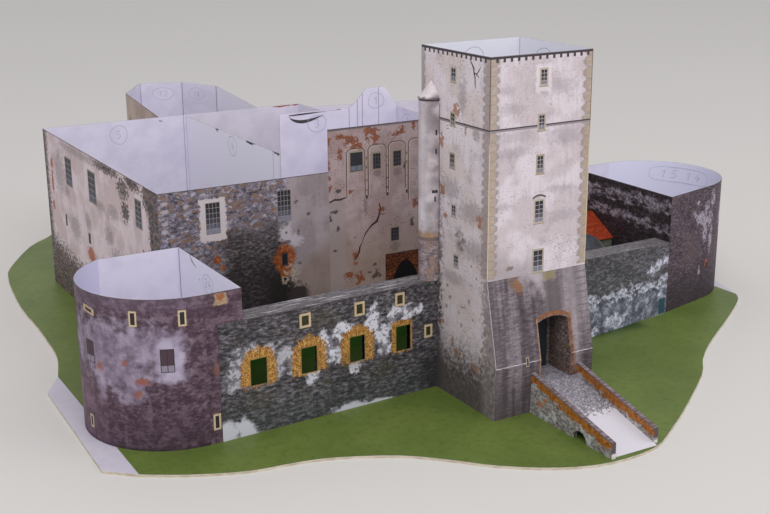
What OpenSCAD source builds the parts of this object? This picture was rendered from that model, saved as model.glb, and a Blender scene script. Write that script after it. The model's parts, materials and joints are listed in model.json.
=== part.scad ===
// Card model of a castle with a tall gate keep, glued up on a board.
// Plan sizes are measured from the keep's front left corner: X along the
// keep's front, Y into the courtyard, Z up from the printed ground sheet.

/* [Materials] */
// Thickness of the wall card
card = 0.5; // [0.3:0.1:0.8]
// Thickness of the base board
board_t = 1.5; // [1:0.5:4]
// Thickness of the printed ground sheet on the board
sheet_t = 0.3; // [0.2:0.1:0.6]

/* [Keep] */
// Width of the keep's front
keep_w = 70; // [60:1:85]
// Depth of the keep
keep_d = 70.5; // [68:0.5:85]
// Height of the keep's open top above the ground
keep_h = 208; // [170:1:240]
// Height at which the front starts to lean outwards
batter_h = 81.5; // [75:0.5:110]
// How far the foot of the front stands out
batter_out = 9.5; // [6:0.5:13]
// How far the front stands out at the card seam
seam_out = 10.5; // [7:0.5:14]
// Height of the card seam across the leaning front
seam_h = 31.8; // [26:0.1:40]

/* [Gate] */
// Left edge of the gate from the keep's left side
gate_x = 32; // [28:0.5:34]
// Width of the gate
gate_w = 22; // [18:0.5:24]
// Height of the gate's sill and of the bridge's upper end
gate_sill = 17.5; // [12:0.5:20]
// Height at which the gate's arch starts
gate_spring = 53; // [44:0.5:56]
// Rise of the gate's arch
gate_rise = 2.5; // [1.5:0.5:6]
// Place of the passage's back wall behind the keep's front
passage_depth = 11; // [8:0.5:30]

/* [Stair turret] */
// Outer radius of the round turret
turret_r = 7.4; // [6:0.2:8.4]
// Place of its centre along the keep's left side
turret_y = 58.3; // [56:0.1:60]
// How far its centre stands outside the keep's side
turret_out = 1; // [0.5:0.1:3]
// How far the cap's eaves lie below the keep's top
turret_drop = 29.5; // [16:0.5:60]
// Height of the cap itself
cap_rise = 10.2; // [6:0.2:16]
// How far the cap's eaves stand past the shaft
cap_over = 0.6; // [0.2:0.1:1.2]

/* [Bridge] */
// Outer face of the left parapet from the keep's left side
bridge_x = 25.4; // [22:0.2:26.6]
// Thickness of a parapet, folded from card
parapet_t = 2.6; // [2:0.1:3.6]
// Clear width between the parapets
deck_w = 30.5; // [28:0.5:31]
// Lower end of the left parapet in front of the keep
left_reach = 83.3; // [70:0.1:84]
// Lower end of the right parapet in front of the keep
right_reach = 79.5; // [66:0.5:80]
// Lower end of the deck in front of the keep
deck_reach = 82; // [60:0.5:82.5]
// Height of the parapets at the keep
parapet_high = 25; // [22:0.5:30]
// Height of the parapets at their lower end
parapet_low = 9.3; // [6:0.1:12]
// Width of the culvert's arch under the bridge
culvert_w = 11.6; // [8:0.2:16]
// Height of the culvert's arch
culvert_h = 5.6; // [4:0.1:7]
// Middle of the culvert in front of the keep
culvert_at = 55.8; // [45:0.1:62]

/* [Curtain walls] */
// Depth of both curtain walls over their top walk
walk_d = 15.5; // [13:0.5:18]
// Height of the left curtain wall
left_h = 69; // [60:0.5:78]
// Place where the left curtain meets the keep's side
left_y = 52.6; // [51:0.1:54]
// How far left the face of the left curtain reaches
left_run = 145.2; // [138:0.2:150]
// How far that far end lies nearer to the viewer than its keep end
left_skew = 7.7; // [5:0.1:9]
// Width of a window in the left curtain
window_w = 10.2; // [7:0.1:13]
// Height of a window in the left curtain
window_h = 15.5; // [10:0.1:20]
// Sill height of these windows
window_sill = 29; // [22:0.5:34]
// Spacing of these windows
window_pitch = 32.4; // [28:0.1:34]
// Middle of the window next to the keep, from the keep's side
window_first = 24.3; // [20:0.1:27]
// How far each window niche widens to either side at the back
niche_splay = 7; // [2:0.1:8]
// Height of the right curtain wall at the keep
right_high = 60.5; // [52:0.5:70]
// Height of the right curtain wall at the rear tower
right_low = 52.5; // [46:0.5:70]
// Place where the right curtain meets the keep's side
right_y = 60.3; // [58:0.1:64]

/* [Bastion] */
// Height of the bastion's rim
bastion_h = 87.5; // [76:0.5:98]
// Radius of its round side
bastion_r = 51; // [49:0.5:53]
// Centre of its round side, left of the keep's side
bastion_cx = 155; // [154:0.5:159]
// Place of its flat wall facing the keep, left of the keep's side
bastion_flat = 130; // [126:0.5:132]

/* [Rear tower] */
// Height of the rear tower's rim
rear_tower_h = 85.7; // [72:0.1:98]
// Radius of its round side
rear_tower_r = 51; // [47:0.5:53]
// Centre of its round side right of the keep's left side
rear_tower_cx = 252.5; // [248:0.5:254]
// Centre of its round side behind the keep's front
rear_tower_cy = 146.5; // [144:0.5:150]
// Place of its flat wall, from the keep's left side
rear_tower_flat = 216; // [208:0.5:220]
// Front corner of that flat wall behind the keep's front
rear_tower_front = 84.8; // [83:0.1:88]

/* [Palace] */
// Height of the palace walls
palace_h = 121.8; // [105:0.1:135]
// Line of the palace's front wall behind the keep's front
palace_front = 140; // [140:0.5:146]
// Line of the palace's rear wall behind the keep's front
palace_back = 390.5; // [370:0.5:400]
// Left wall of the palace, left of the keep's side
palace_left = 142; // [136:0.5:148]
// Inner court wall of the palace, left of the keep's side
palace_inner = 27; // [20:0.5:34]
// Right end of the rear range, from the keep's left side
range_right = 75; // [70:0.5:84]

/* [Hall] */
// Height of the hall's front
hall_h = 149.2; // [136:0.1:165]
// Height of the hall's right side wall
hall_side_h = 146.5; // [130:0.5:149]
// Right end of the hall's front, from the keep's left side
hall_right = 60; // [54:0.5:68]
// Line of the hall's rear wall behind the keep's front
hall_back = 206.8; // [190:0.2:225]
// How far the side wall spreads to the right over its length
hall_flare = 3.7; // [0:0.1:8]
// How far the rear wall runs past the palace's court wall
hall_lap = 2; // [1:0.5:4]
// Height of the rear wall's raised gable
gable_top = 161.5; // [152:0.5:175]
// Left foot of that gable, from the keep's left side
gable_x = 25.4; // [18:0.2:32]
// Width of the gable
gable_w = 27.8; // [22:0.2:30]
// Width of the gable's level top
gable_top_w = 14.9; // [6:0.1:17]
// Width of the low shoulder at its left foot
shoulder_w = 4.4; // [2:0.2:5]
// Height of that shoulder
shoulder_h = 3; // [1:0.2:6]
// Width of the paper tab that holds the court wall
tab_w = 6.6; // [4:0.2:10]
// How far that tab turns aside over its width
tab_turn = 1.6; // [0:0.1:3]
// How far the court wall's top lies below the other palace walls
court_wall_drop = 1; // [0:0.5:3]

/* [Chapel] */
// How far the chapel's walls stay below the palace's
chapel_drop = 0.2; // [0:0.1:10]
// Left wall of the chapel, left of the palace's court wall
chapel_in = 22; // [14:0.5:26]
// Length of the chapel's left wall behind the palace
chapel_l = 134; // [110:1:140]
// Width of the chapel at the palace
chapel_w = 86; // [76:1:92]
// How far the chapel leans to the right over its length
chapel_skew = 18; // [0:1:22]
// How much shorter the right wall is than the left one
chapel_short = 4; // [0:1:10]
// Depth of the three-sided apse at its left corner
apse_d = 49; // [36:1:54]
// How far that corner stands in from the left wall's end
apse_left_in = 30; // [20:1:36]
// How far the right corner stands in from the right wall's end
apse_right_in = 19; // [14:1:30]
// How much less deep the apse is at its right corner
apse_slant = 13; // [0:1:18]

/* [East range] */
// How far the east range's walls stay below the palace's
east_drop = 0; // [0:0.5:20]
// How far its rear wall leaves the rear range in front of the palace's rear line
east_inset = 19.5; // [4:0.5:40]
// Reach of its rear wall to the right
east_x = 232; // [200:1:245]
// How far the rear wall comes forward over its reach
east_skew = 32; // [20:1:40]
// Place of the end wall's foot on the rear tower, from the tower's flat wall
east_foot_in = 3; // [1:0.5:12]

/* [Court house] */
// Width of the small house beside the rear tower
house_w = 29; // [24:0.5:32]
// Front of the small house behind the keep's front
house_y = 147; // [135:0.5:155]
// Length of the small house
house_l = 50; // [36:1:56]
// Width of the part where its front slope runs on lower
low_w = 13.2; // [9:0.1:18]
// How far this low part stands before the rest of the house
low_run = 13; // [8:0.5:16]
// Height of its eaves
house_eaves = 42.5; // [34:0.5:48]
// Height of its ridge
house_ridge = 57; // [50:0.5:66]
// How far the roof stands past the walls
house_over = 1.6; // [1:0.1:3]

/* [Hidden] */
$fn = 96;
// Spans the edge of a cut that must pass right through a sheet
through = 4;
gate_mid = gate_x + gate_w / 2;
turret_h = keep_h - turret_drop;
deck_x = bridge_x + parapet_t;
right_parapet_x = deck_x + deck_w;
passage_arch_r = (gate_w * gate_w / 4 + gate_rise * gate_rise) / (2 * gate_rise);
walk_from = -bastion_flat;
curtain_slope = left_skew / left_run;
curtain_turn = atan(curtain_slope);

// Corners of the ground plan
left_far = [-left_run, left_y - left_skew];
left_near = [0, left_y];
right_near = [keep_w, right_y];
right_far = [rear_tower_flat, rear_tower_front];
rear_tower_c = [rear_tower_cx, rear_tower_cy];
hall_front_right = [hall_right, palace_front];
hall_back_right = [hall_right + hall_flare, hall_back];
hall_back_left = [-palace_inner - hall_lap, hall_back];
chapel_h = palace_h - chapel_drop;
chapel_left = -palace_inner - chapel_in;
east_h = palace_h - east_drop;
east_y = palace_back - east_inset;
east_end = [east_x, east_y - east_skew];

// Smooth edge of the base board, counter-clockwise from its cut corner
board_edge = [
    [-199, 31], [-176, 17], [-147, 5], [-119, 1], [-98, -5], [-69, -20], [-49, -38],
    [-30, -58], [-4, -76], [23, -85], [56, -83], [81, -69], [108, -51], [154, -17],
    [173, 2], [192, 17.6], [213, 32], [246, 53.5], [276, 74.4], [286, 83], [292, 92],
    [297, 105], [303, 128],
    [310, 180], [306, 225], [290, 285],
    [262, 345], [225, 395], [170, 430], [128, 462], [108, 510], [96, 562], [64, 602],
    [10, 616], [-46, 604], [-86, 570], [-107, 529], [-133, 501], [-164, 445], [-172, 418],
    [-177, 386], [-182, 338], [-183, 292], [-185, 254], [-188, 223], [-197, 190]
];
// Straight corners of the board where the ground sheet leaves it bare
board_corners = [[-210, 167], [-214.6, 45.2]];
edge_steps = 3;
// The ground sheet ends on this line at the right, behind the rear tower's front
bare_x = 291;
bare_y = [89, 280];

function unit(v) = v / norm(v);
function left_of(a, b) = let (d = unit(b - a)) [-d[1], d[0]];
// Inner corner of a folded strip whose inside is on the left of its path
function fold_corner(before, at, after, t) =
    let (s = left_of(before, at) + left_of(at, after)) at + s * 2 * t / (s * s);
// Where the line from a to b crosses a plane across X or across Y
function at_x(a, b, x) = a + (b - a) * (x - a[0]) / (b[0] - a[0]);
function at_y(a, b, y) = a + (b - a) * (y - a[1]) / (b[1] - a[1]);
// A point of the left curtain's plan, at a depth behind its face
function behind_left(x, depth) = [x, left_y + x * curtain_slope + depth / cos(curtain_turn)];
// Inner line of a folded strip, square at both open ends
function inner_line(path, t) = [
    for (i = [0 : len(path) - 1])
        i == 0 ? path[0] + left_of(path[0], path[1]) * t
        : i == len(path) - 1 ? path[i] + left_of(path[i - 1], path[i]) * t
        : fold_corner(path[i - 1], path[i], path[i + 1], t)
];
// Point where a line from p touches a circle; side is 1 or -1
function touch_point(p, centre, r, side) =
    let (
        d = centre - p,
        away = norm(d),
        turn = side * acos(r / away),
        to_p = atan2(-d[1], -d[0])
    )
    centre + r * [cos(to_p + turn), sin(to_p + turn)];
// Catmull-Rom curve through a list of points, open at both ends
function curve_point(a, b, c, d, t) =
    0.5 * (2 * b + (c - a) * t + (2 * a - 5 * b + 4 * c - d) * t * t
        + (3 * b - a - 3 * c + d) * t * t * t);
function smooth_line(p, steps) = [
    for (i = [0 : len(p) - 2]) for (k = [0 : steps - 1])
        curve_point(p[max(i - 1, 0)], p[i], p[i + 1], p[min(i + 2, len(p) - 1)], k / steps),
    p[len(p) - 1]
];
// How far the leaning front stands out at height z
function lean(z) = z <= seam_h
    ? batter_out + (seam_out - batter_out) * z / seam_h
    : seam_out * (batter_h - z) / (batter_h - seam_h);

// Puts the model on its board with the origin under the middle of the keep
module on_board() {
    translate([-keep_w / 2, -keep_d / 2, board_t + sheet_t]) children();
}

// One straight wall of a folded strip, from path[i] to path[i + 1]
module strip_wall(path, i, height) {
    inner = inner_line(path, card);
    card_wall(path[i], path[i + 1], inner[i], inner[i + 1], height);
}

// A wall between two outer and two inner corners
module card_wall(outer_a, outer_b, inner_a, inner_b, height) {
    linear_extrude(height) polygon([outer_a, outer_b, inner_b, inner_a]);
}

// Turns a drawing in Y and Z into a sheet of the given thickness along X
module upright(thickness) {
    rotate([90, 0, 90]) linear_extrude(thickness) children();
}

// Turns a drawing in X and Z into a sheet of the given thickness along Y
module facing(thickness) {
    translate([0, thickness, 0]) rotate([90, 0, 0]) linear_extrude(thickness) children();
}

// Puts a drawing made along a wall on the line from a to b, inside on the left
module along(a, b) {
    translate([a[0], a[1], 0]) rotate([0, 0, atan2(b[1] - a[1], b[0] - a[0])]) children();
}

// Base

module base_board() {
    color([0.90, 0.88, 0.83])
        on_board() translate([0, 0, -sheet_t - board_t])
            linear_extrude(board_t)
                polygon(concat(smooth_line(board_edge, edge_steps), board_corners));
}

module ground_sheet() {
    color([0.36, 0.47, 0.18])
        on_board() translate([0, 0, -sheet_t])
            difference() {
                linear_extrude(sheet_t) polygon(smooth_line(board_edge, edge_steps));
                translate([bare_x, bare_y[0], -through])
                    cube([keep_w, bare_y[1] - bare_y[0], 2 * through]);
            }
}

// Keep

module keep_front_wall() {
    color([0.84, 0.80, 0.78])
        on_board() translate([0, 0, batter_h]) cube([keep_w, card, keep_h - batter_h]);
}

module keep_side_profile() {
    polygon([
        [card - batter_out, 0], [card - seam_out, seam_h], [card, batter_h],
        [card, keep_h], [keep_d - card, keep_h], [keep_d - card, 0]
    ]);
}

module keep_left_wall() {
    color([0.82, 0.78, 0.76])
        on_board() upright(card) keep_side_profile();
}

module keep_right_wall() {
    color([0.82, 0.78, 0.76])
        on_board() translate([keep_w - card, 0, 0]) upright(card) keep_side_profile();
}

module keep_rear_wall() {
    color([0.84, 0.80, 0.78])
        on_board() translate([0, keep_d - card, 0]) cube([keep_w, card, keep_h]);
}

module gate_outline(extra) {
    translate([gate_x - extra, gate_sill - extra])
        square([gate_w + 2 * extra, gate_spring - gate_sill + extra]);
    intersection() {
        translate([gate_mid, gate_spring + gate_rise - passage_arch_r])
            circle(passage_arch_r + extra);
        translate([gate_x - extra, gate_spring])
            square([gate_w + 2 * extra, gate_rise + extra]);
    }
}

// The leaning front sheet is folded at the seam and at its top
module keep_batter() {
    color([0.55, 0.50, 0.52])
        on_board() difference() {
            upright(keep_w)
                polygon([
                    [-batter_out, 0], [-seam_out, seam_h], [0, batter_h],
                    [card, batter_h], [card - seam_out, seam_h], [card - batter_out, 0]
                ]);
            translate([0, -seam_out - through, 0]) facing(seam_out + 2 * through) gate_outline(0);
        }
}

// Gate passage

// The passage starts behind the leaning sheet and ends at its back wall
module passage_side_profile() {
    polygon([
        [card - lean(gate_sill), gate_sill], [card - seam_out, seam_h],
        [card - lean(gate_spring), gate_spring],
        [passage_depth, gate_spring], [passage_depth, gate_sill]
    ]);
}

module gate_side_walls() {
    color([0.50, 0.46, 0.46])
        on_board() {
            translate([gate_x - card, 0, 0]) upright(card) passage_side_profile();
            translate([gate_x + gate_w, 0, 0]) upright(card) passage_side_profile();
        }
}

module gate_vault() {
    color([0.46, 0.42, 0.42])
        on_board() intersection() {
            translate([0, -seam_out, 0]) facing(seam_out + passage_depth)
                difference() {
                    gate_outline(card);
                    gate_outline(0);
                    square([keep_w, gate_spring]);
                }
            // Keeps the vault behind the leaning front
            upright(keep_w)
                polygon([
                    [card - lean(gate_spring), gate_spring], [card, batter_h],
                    [passage_depth, batter_h], [passage_depth, gate_spring]
                ]);
        }
}

module gate_back_wall() {
    color([0.40, 0.40, 0.44])
        on_board() translate([0, passage_depth, 0]) facing(card) gate_outline(card);
}

module gate_floor() {
    under = gate_sill - card;
    color([0.58, 0.56, 0.55])
        on_board() translate([gate_x, 0, 0]) upright(gate_w)
            polygon([
                [card - lean(under), under], [card - lean(gate_sill), gate_sill],
                [passage_depth, gate_sill], [passage_depth, under]
            ]);
}

// Stair turret

// Keeps what lies outside the keep's left side
module left_of_keep() {
    intersection() {
        children();
        translate([-2 * turret_r, turret_y - 2 * turret_r, 0])
            cube([2 * turret_r, 4 * turret_r, keep_h]);
    }
}

module turret_shaft() {
    color([0.72, 0.66, 0.66])
        on_board() left_of_keep()
            translate([-turret_out, turret_y, left_h]) difference() {
                cylinder(r = turret_r, h = turret_h - left_h);
                translate([0, 0, -through]) cylinder(r = turret_r - card, h = keep_h);
            }
}

module turret_cap() {
    color([0.80, 0.76, 0.75])
        on_board() left_of_keep()
            translate([-turret_out, turret_y, turret_h])
                cylinder(r1 = turret_r + cap_over, r2 = 0, h = cap_rise);
}

// Bridge

module culvert_profile() {
    intersection() {
        translate([-culvert_at, 0]) circle(culvert_w / 2);
        translate([-culvert_at - culvert_w / 2, 0]) square([culvert_w, culvert_h]);
    }
}

// Folded card: two faces, a coping and an end, open at the bottom
module parapet(reach) {
    difference() {
        upright(parapet_t) parapet_solid(reach);
        translate([card, 0, 0]) upright(parapet_t - 2 * card) parapet_hollow(reach);
        translate([-through, 0, 0]) upright(parapet_t + 2 * through) culvert_profile();
    }
}

module parapet_solid(reach) {
    polygon([
        [-batter_out, 0], [-lean(parapet_high), parapet_high],
        [-reach, parapet_low], [-reach, 0]
    ]);
}

module parapet_hollow(reach) {
    polygon([
        [-batter_out + through, -through], [-batter_out + through, parapet_high - card],
        [-lean(parapet_high), parapet_high - card],
        [-reach + card, parapet_low - card], [-reach + card, -through]
    ]);
}

module bridge_left_parapet() {
    color([0.60, 0.55, 0.55])
        on_board() translate([bridge_x, 0, 0]) parapet(left_reach);
}

module bridge_right_parapet() {
    color([0.60, 0.55, 0.55])
        on_board() translate([right_parapet_x, 0, 0]) parapet(right_reach);
}

module bridge_deck() {
    color([0.74, 0.73, 0.74])
        on_board() translate([deck_x, 0, 0]) upright(deck_w)
            polygon([
                [-lean(gate_sill), gate_sill], [-lean(gate_sill - card), gate_sill - card],
                [-deck_reach + card, 0], [-deck_reach, 0]
            ]);
}

// Curtain walls

// Window openings along the left curtain, seen from its left end
module window_row(splay, cut_sill, cut_h) {
    for (i = [0 : 3])
        translate([
            left_run - window_first - i * window_pitch - window_w / 2 - splay,
            cut_sill
        ])
            square([window_w + 2 * splay, cut_h]);
}

module left_curtain_front() {
    color([0.52, 0.48, 0.48])
        on_board() difference() {
            card_wall(
                left_far, left_near, behind_left(-left_run, card), behind_left(0, card), left_h
            );
            along(left_far, left_near) translate([0, -through, 0]) facing(2 * through)
                window_row(0, window_sill, window_h);
        }
}

module left_curtain_walk() {
    color([0.80, 0.78, 0.77])
        on_board() translate([0, 0, left_h - card]) linear_extrude(card)
            polygon([
                behind_left(walk_from, card), behind_left(0, card),
                behind_left(0, walk_d), behind_left(walk_from, walk_d)
            ]);
}

module left_curtain_back() {
    color([0.50, 0.46, 0.46])
        on_board() difference() {
            card_wall(
                behind_left(walk_from, walk_d - card), behind_left(0, walk_d - card),
                behind_left(walk_from, walk_d), behind_left(0, walk_d), left_h - card
            );
            translate([0, walk_d - through, 0]) along(left_far, left_near) facing(2 * through)
                window_row(niche_splay, window_sill - window_h, 2 * window_h + niche_splay);
        }
}

// The sheets of the right curtain are cut along the keep's side and along the
// tower's flat wall; from and to are depths behind the curtain's face
module right_plan(from, to) {
    back = left_of(right_near, right_far);
    ahead = right_far - right_near;
    a = right_near + back * from;
    b = right_near + back * to;
    linear_extrude(2 * right_high) polygon([
        at_x(a, a + ahead, keep_w), at_x(a, a + ahead, rear_tower_flat),
        at_x(b, b + ahead, rear_tower_flat), at_x(b, b + ahead, keep_w)
    ]);
}

// Everything under a height that falls along the curtain as its top does
module right_below(high) {
    long = norm(right_far - right_near);
    fall = (right_high - right_low) / long;
    along(right_near, right_far) translate([-walk_d, -walk_d, 0]) facing(3 * walk_d)
        polygon([
            [0, 0], [long + 2 * walk_d, 0],
            [long + 2 * walk_d, high - fall * (long + walk_d)], [0, high + fall * walk_d]
        ]);
}

module right_curtain_front() {
    color([0.50, 0.48, 0.50])
        on_board() intersection() {
            right_plan(0, card);
            right_below(right_high);
        }
}

module right_curtain_walk() {
    color([0.55, 0.53, 0.55])
        on_board() difference() {
            intersection() {
                right_plan(card, walk_d);
                right_below(right_high);
            }
            right_below(right_high - card);
        }
}

module right_curtain_back() {
    color([0.48, 0.46, 0.48])
        on_board() intersection() {
            right_plan(walk_d - card, walk_d);
            right_below(right_high - card);
        }
}

// Bastion

// The flank stands behind the curtain's face sheet and touches the round side
bastion_near = behind_left(-bastion_flat, card);
bastion_c = behind_left(-bastion_cx, card + bastion_r);
bastion_touch = bastion_c + bastion_r * [sin(curtain_turn), -cos(curtain_turn)];
bastion_chord = sqrt(bastion_r * bastion_r - pow(palace_front - bastion_c[1], 2));
bastion_back = [-bastion_cx - bastion_chord, palace_front];
bastion_path = [
    bastion_touch, bastion_near, [-bastion_flat, palace_front], bastion_back
];

module bastion_front_flank() {
    color([0.40, 0.33, 0.36])
        on_board() strip_wall(bastion_path, 0, bastion_h);
}

module bastion_flat_wall() {
    color([0.40, 0.33, 0.36])
        on_board() strip_wall(bastion_path, 1, bastion_h);
}

module bastion_rear_wall() {
    color([0.40, 0.33, 0.36])
        on_board() strip_wall(bastion_path, 2, bastion_h);
}

module ring(centre, r, height) {
    translate([centre[0], centre[1], 0]) difference() {
        cylinder(r = r, h = height);
        translate([0, 0, -through]) cylinder(r = r - card, h = height + 2 * through);
    }
}

module bastion_round_wall() {
    reach = 2 * bastion_r;
    inner = inner_line(bastion_path, card);
    color([0.44, 0.37, 0.42])
        on_board() intersection() {
            ring(bastion_c, bastion_r, bastion_h);
            linear_extrude(bastion_h)
                polygon([
                    bastion_c, bastion_c + 2 * (bastion_touch - bastion_c),
                    bastion_c + [-reach, -reach], bastion_c + [-reach, reach],
                    bastion_back + [-card, reach], bastion_back, inner[3]
                ]);
        }
}

// Rear tower

rear_near = [rear_tower_flat, rear_tower_front];
rear_touch = touch_point(rear_near, rear_tower_c, rear_tower_r, 1);
rear_top = [rear_tower_cx, rear_tower_cy + rear_tower_r];
rear_path = [rear_top, [rear_tower_flat, rear_top[1]], rear_near, rear_touch];

module rear_tower_flat_wall() {
    color([0.24, 0.21, 0.23])
        on_board() strip_wall(rear_path, 1, rear_tower_h);
}

module rear_tower_front_flank() {
    color([0.34, 0.28, 0.30])
        on_board() strip_wall(rear_path, 2, rear_tower_h);
}

module rear_tower_rear_flank() {
    color([0.34, 0.28, 0.30])
        on_board() strip_wall(rear_path, 0, rear_tower_h);
}

module rear_tower_round_wall() {
    reach = 2 * rear_tower_r;
    color([0.34, 0.28, 0.30])
        on_board() intersection() {
            ring(rear_tower_c, rear_tower_r, rear_tower_h);
            linear_extrude(rear_tower_h)
                polygon([
                    rear_tower_c, rear_tower_c + 2 * (rear_touch - rear_tower_c),
                    rear_tower_c + [reach, -reach], rear_tower_c + [reach, reach],
                    rear_tower_c + [0, reach]
                ]);
        }
}

// Palace and rear range

palace_path = [
    [range_right, hall_back + card],
    [range_right, palace_back], [-palace_left, palace_back], [-palace_left, palace_front],
    [-palace_inner, palace_front]
];

module palace_front_wall() {
    color([0.45, 0.40, 0.38])
        on_board() strip_wall(palace_path, 3, palace_h);
}

module palace_left_wall() {
    color([0.78, 0.70, 0.66])
        on_board() strip_wall(palace_path, 2, palace_h);
}

module palace_rear_wall() {
    color([0.78, 0.70, 0.66])
        on_board() strip_wall(palace_path, 1, palace_h);
}

// The court wall ends in a folded tab that is glued to the hall's rear wall
module palace_court_wall() {
    seat = hall_back + card;
    path = [
        [-palace_inner, palace_back - card], [-palace_inner, seat + tab_w],
        [-palace_inner - tab_turn, seat]
    ];
    inner = inner_line(path, card);
    color([0.78, 0.70, 0.66])
        on_board() linear_extrude(palace_h - court_wall_drop)
            polygon([
                path[0], path[1], path[2], at_y(inner[1], inner[2], seat), inner[1], inner[0]
            ]);
}

module rear_range_end_wall() {
    color([0.78, 0.70, 0.66])
        on_board() strip_wall(palace_path, 0, palace_h);
}

// Hall

hall_path = [
    [-palace_inner, palace_front], hall_front_right, hall_back_right, hall_back_left
];

module hall_facade() {
    color([0.74, 0.64, 0.60])
        on_board() strip_wall(hall_path, 0, hall_h);
}

module hall_side_wall() {
    color([0.74, 0.64, 0.60])
        on_board() strip_wall(hall_path, 1, hall_side_h);
}

// The rear wall carries a raised gable with sloping shoulders
module hall_rear_wall() {
    left = hall_back_left[0];
    gable_right = gable_x + gable_w;
    color([0.88, 0.88, 0.92])
        on_board() translate([0, hall_back, 0]) facing(card)
            polygon([
                [left, 0], [range_right, 0], [range_right, palace_h],
                [hall_back_right[0], palace_h], [hall_back_right[0], hall_side_h],
                [gable_right, gable_top], [gable_right - gable_top_w, gable_top],
                [gable_x + shoulder_w, hall_h + shoulder_h], [gable_x, hall_h],
                [left, hall_h]
            ]);
}

// Chapel

chapel_right = chapel_left + chapel_w;
apse_front = palace_back + chapel_l;
apse_back = apse_front + apse_d;
chapel_path = [
    [chapel_left, palace_back],
    [chapel_left + chapel_skew, apse_front],
    [chapel_left + chapel_skew + apse_left_in, apse_back],
    [chapel_right + chapel_skew - apse_right_in, apse_back - apse_slant],
    [chapel_right + chapel_skew, apse_front - chapel_short],
    [chapel_right, palace_back]
];

module chapel_left_wall() {
    color([0.76, 0.68, 0.58])
        on_board() chapel_wall(0);
}

module chapel_right_wall() {
    color([0.76, 0.68, 0.58])
        on_board() chapel_wall(4);
}

chapel_line = inner_line(chapel_path, -card);
chapel_inner = [
    for (i = [0 : 5])
        i == 0 ? at_y(chapel_line[1], chapel_line[0], palace_back)
        : i == 5 ? at_y(chapel_line[4], chapel_line[5], palace_back)
        : chapel_line[i]
];

module chapel_wall(i) {
    card_wall(
        chapel_path[i], chapel_path[i + 1], chapel_inner[i], chapel_inner[i + 1], chapel_h
    );
}

module chapel_apse() {
    color([0.76, 0.68, 0.58])
        on_board() linear_extrude(chapel_h)
            polygon([
                for (i = [1 : 4]) chapel_path[i],
                for (i = [4 : -1 : 1]) chapel_inner[i]
            ]);
}

// East range

// The end wall stands on the rear tower's rear flank
east_foot = [rear_tower_flat + east_foot_in, rear_top[1]];
east_path = [east_foot, east_end, [range_right, east_y]];
east_line = inner_line(east_path, card);

module east_rear_wall() {
    color([0.80, 0.74, 0.70])
        on_board() card_wall(
            east_path[1], east_path[2], east_line[1],
            at_x(east_line[1], east_line[2], range_right), east_h
        );
}

module east_end_wall() {
    color([0.80, 0.74, 0.70])
        on_board() card_wall(
            east_path[0], east_path[1],
            at_y(east_line[1], east_line[0], east_foot[1]), east_line[1], east_h
        );
}

// Court house

house_right = rear_tower_flat;
house_left = house_right - house_w;
house_mid = house_y + house_l / 2;
house_pitch = (house_ridge - house_eaves) / (house_l / 2);
low_y = house_y - low_run;

// Height of the roof's folded slopes at a place along the house
function slope_at(y) = house_ridge - abs(house_mid - y) * house_pitch;

// End wall under the roof, with its front at the given place
module house_gable(front) {
    polygon([
        [front, 0], [house_y + house_l, 0], [house_y + house_l, house_eaves],
        [house_mid, house_ridge], [front, slope_at(front)]
    ]);
}

// The hollow behind a front wall at the given place
module house_room(front) {
    polygon([
        [front + card, -through], [house_y + house_l - card, -through],
        [house_y + house_l - card, house_ridge + through], [front + card, house_ridge + through]
    ]);
}

module court_house_walls() {
    color([0.42, 0.41, 0.42])
        on_board() difference() {
            union() {
                translate([house_left, 0, 0]) upright(house_w) house_gable(house_y);
                translate([house_left, 0, 0]) upright(low_w) house_gable(low_y);
            }
            translate([house_left + card, 0, 0]) upright(house_w) house_room(house_y);
            translate([house_left + card, 0, 0]) upright(low_w - 2 * card) house_room(low_y);
        }
}

// Two slopes folded over the ridge, from the given front edge
module roof_fold(front) {
    back = house_y + house_l + house_over;
    polygon([
        [front, slope_at(front)], [house_mid, house_ridge], [back, slope_at(back)],
        [back, slope_at(back) + card], [house_mid, house_ridge + card], [front, slope_at(front) + card]
    ]);
}

// The roof with a small overhang; its front slope runs on over the low part
module court_house_roof() {
    color([0.80, 0.26, 0.10])
        on_board() translate([house_left - house_over, 0, 0]) union() {
            upright(house_w + house_over) roof_fold(house_y - house_over);
            upright(low_w + 2 * house_over) roof_fold(low_y - house_over);
        }
}

base_board();
ground_sheet();
keep_front_wall();
keep_left_wall();
keep_right_wall();
keep_rear_wall();
keep_batter();
gate_side_walls();
gate_vault();
gate_back_wall();
gate_floor();
turret_shaft();
turret_cap();
bridge_deck();
bridge_left_parapet();
bridge_right_parapet();
left_curtain_front();
left_curtain_walk();
left_curtain_back();
right_curtain_front();
right_curtain_walk();
right_curtain_back();
bastion_front_flank();
bastion_flat_wall();
bastion_rear_wall();
bastion_round_wall();
rear_tower_flat_wall();
rear_tower_front_flank();
rear_tower_rear_flank();
rear_tower_round_wall();
palace_front_wall();
palace_left_wall();
palace_rear_wall();
palace_court_wall();
rear_range_end_wall();
hall_facade();
hall_side_wall();
hall_rear_wall();
chapel_left_wall();
chapel_apse();
chapel_right_wall();
east_rear_wall();
east_end_wall();
court_house_walls();
court_house_roof();
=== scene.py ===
"""Looks of a card model of a castle: printed walls, plain card inside, a green ground sheet.

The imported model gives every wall. Sizes here are millimetres from the front left
corner of the keep: X along its front, Y into the court, Z up from the ground sheet.
"""
import json
import math

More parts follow.
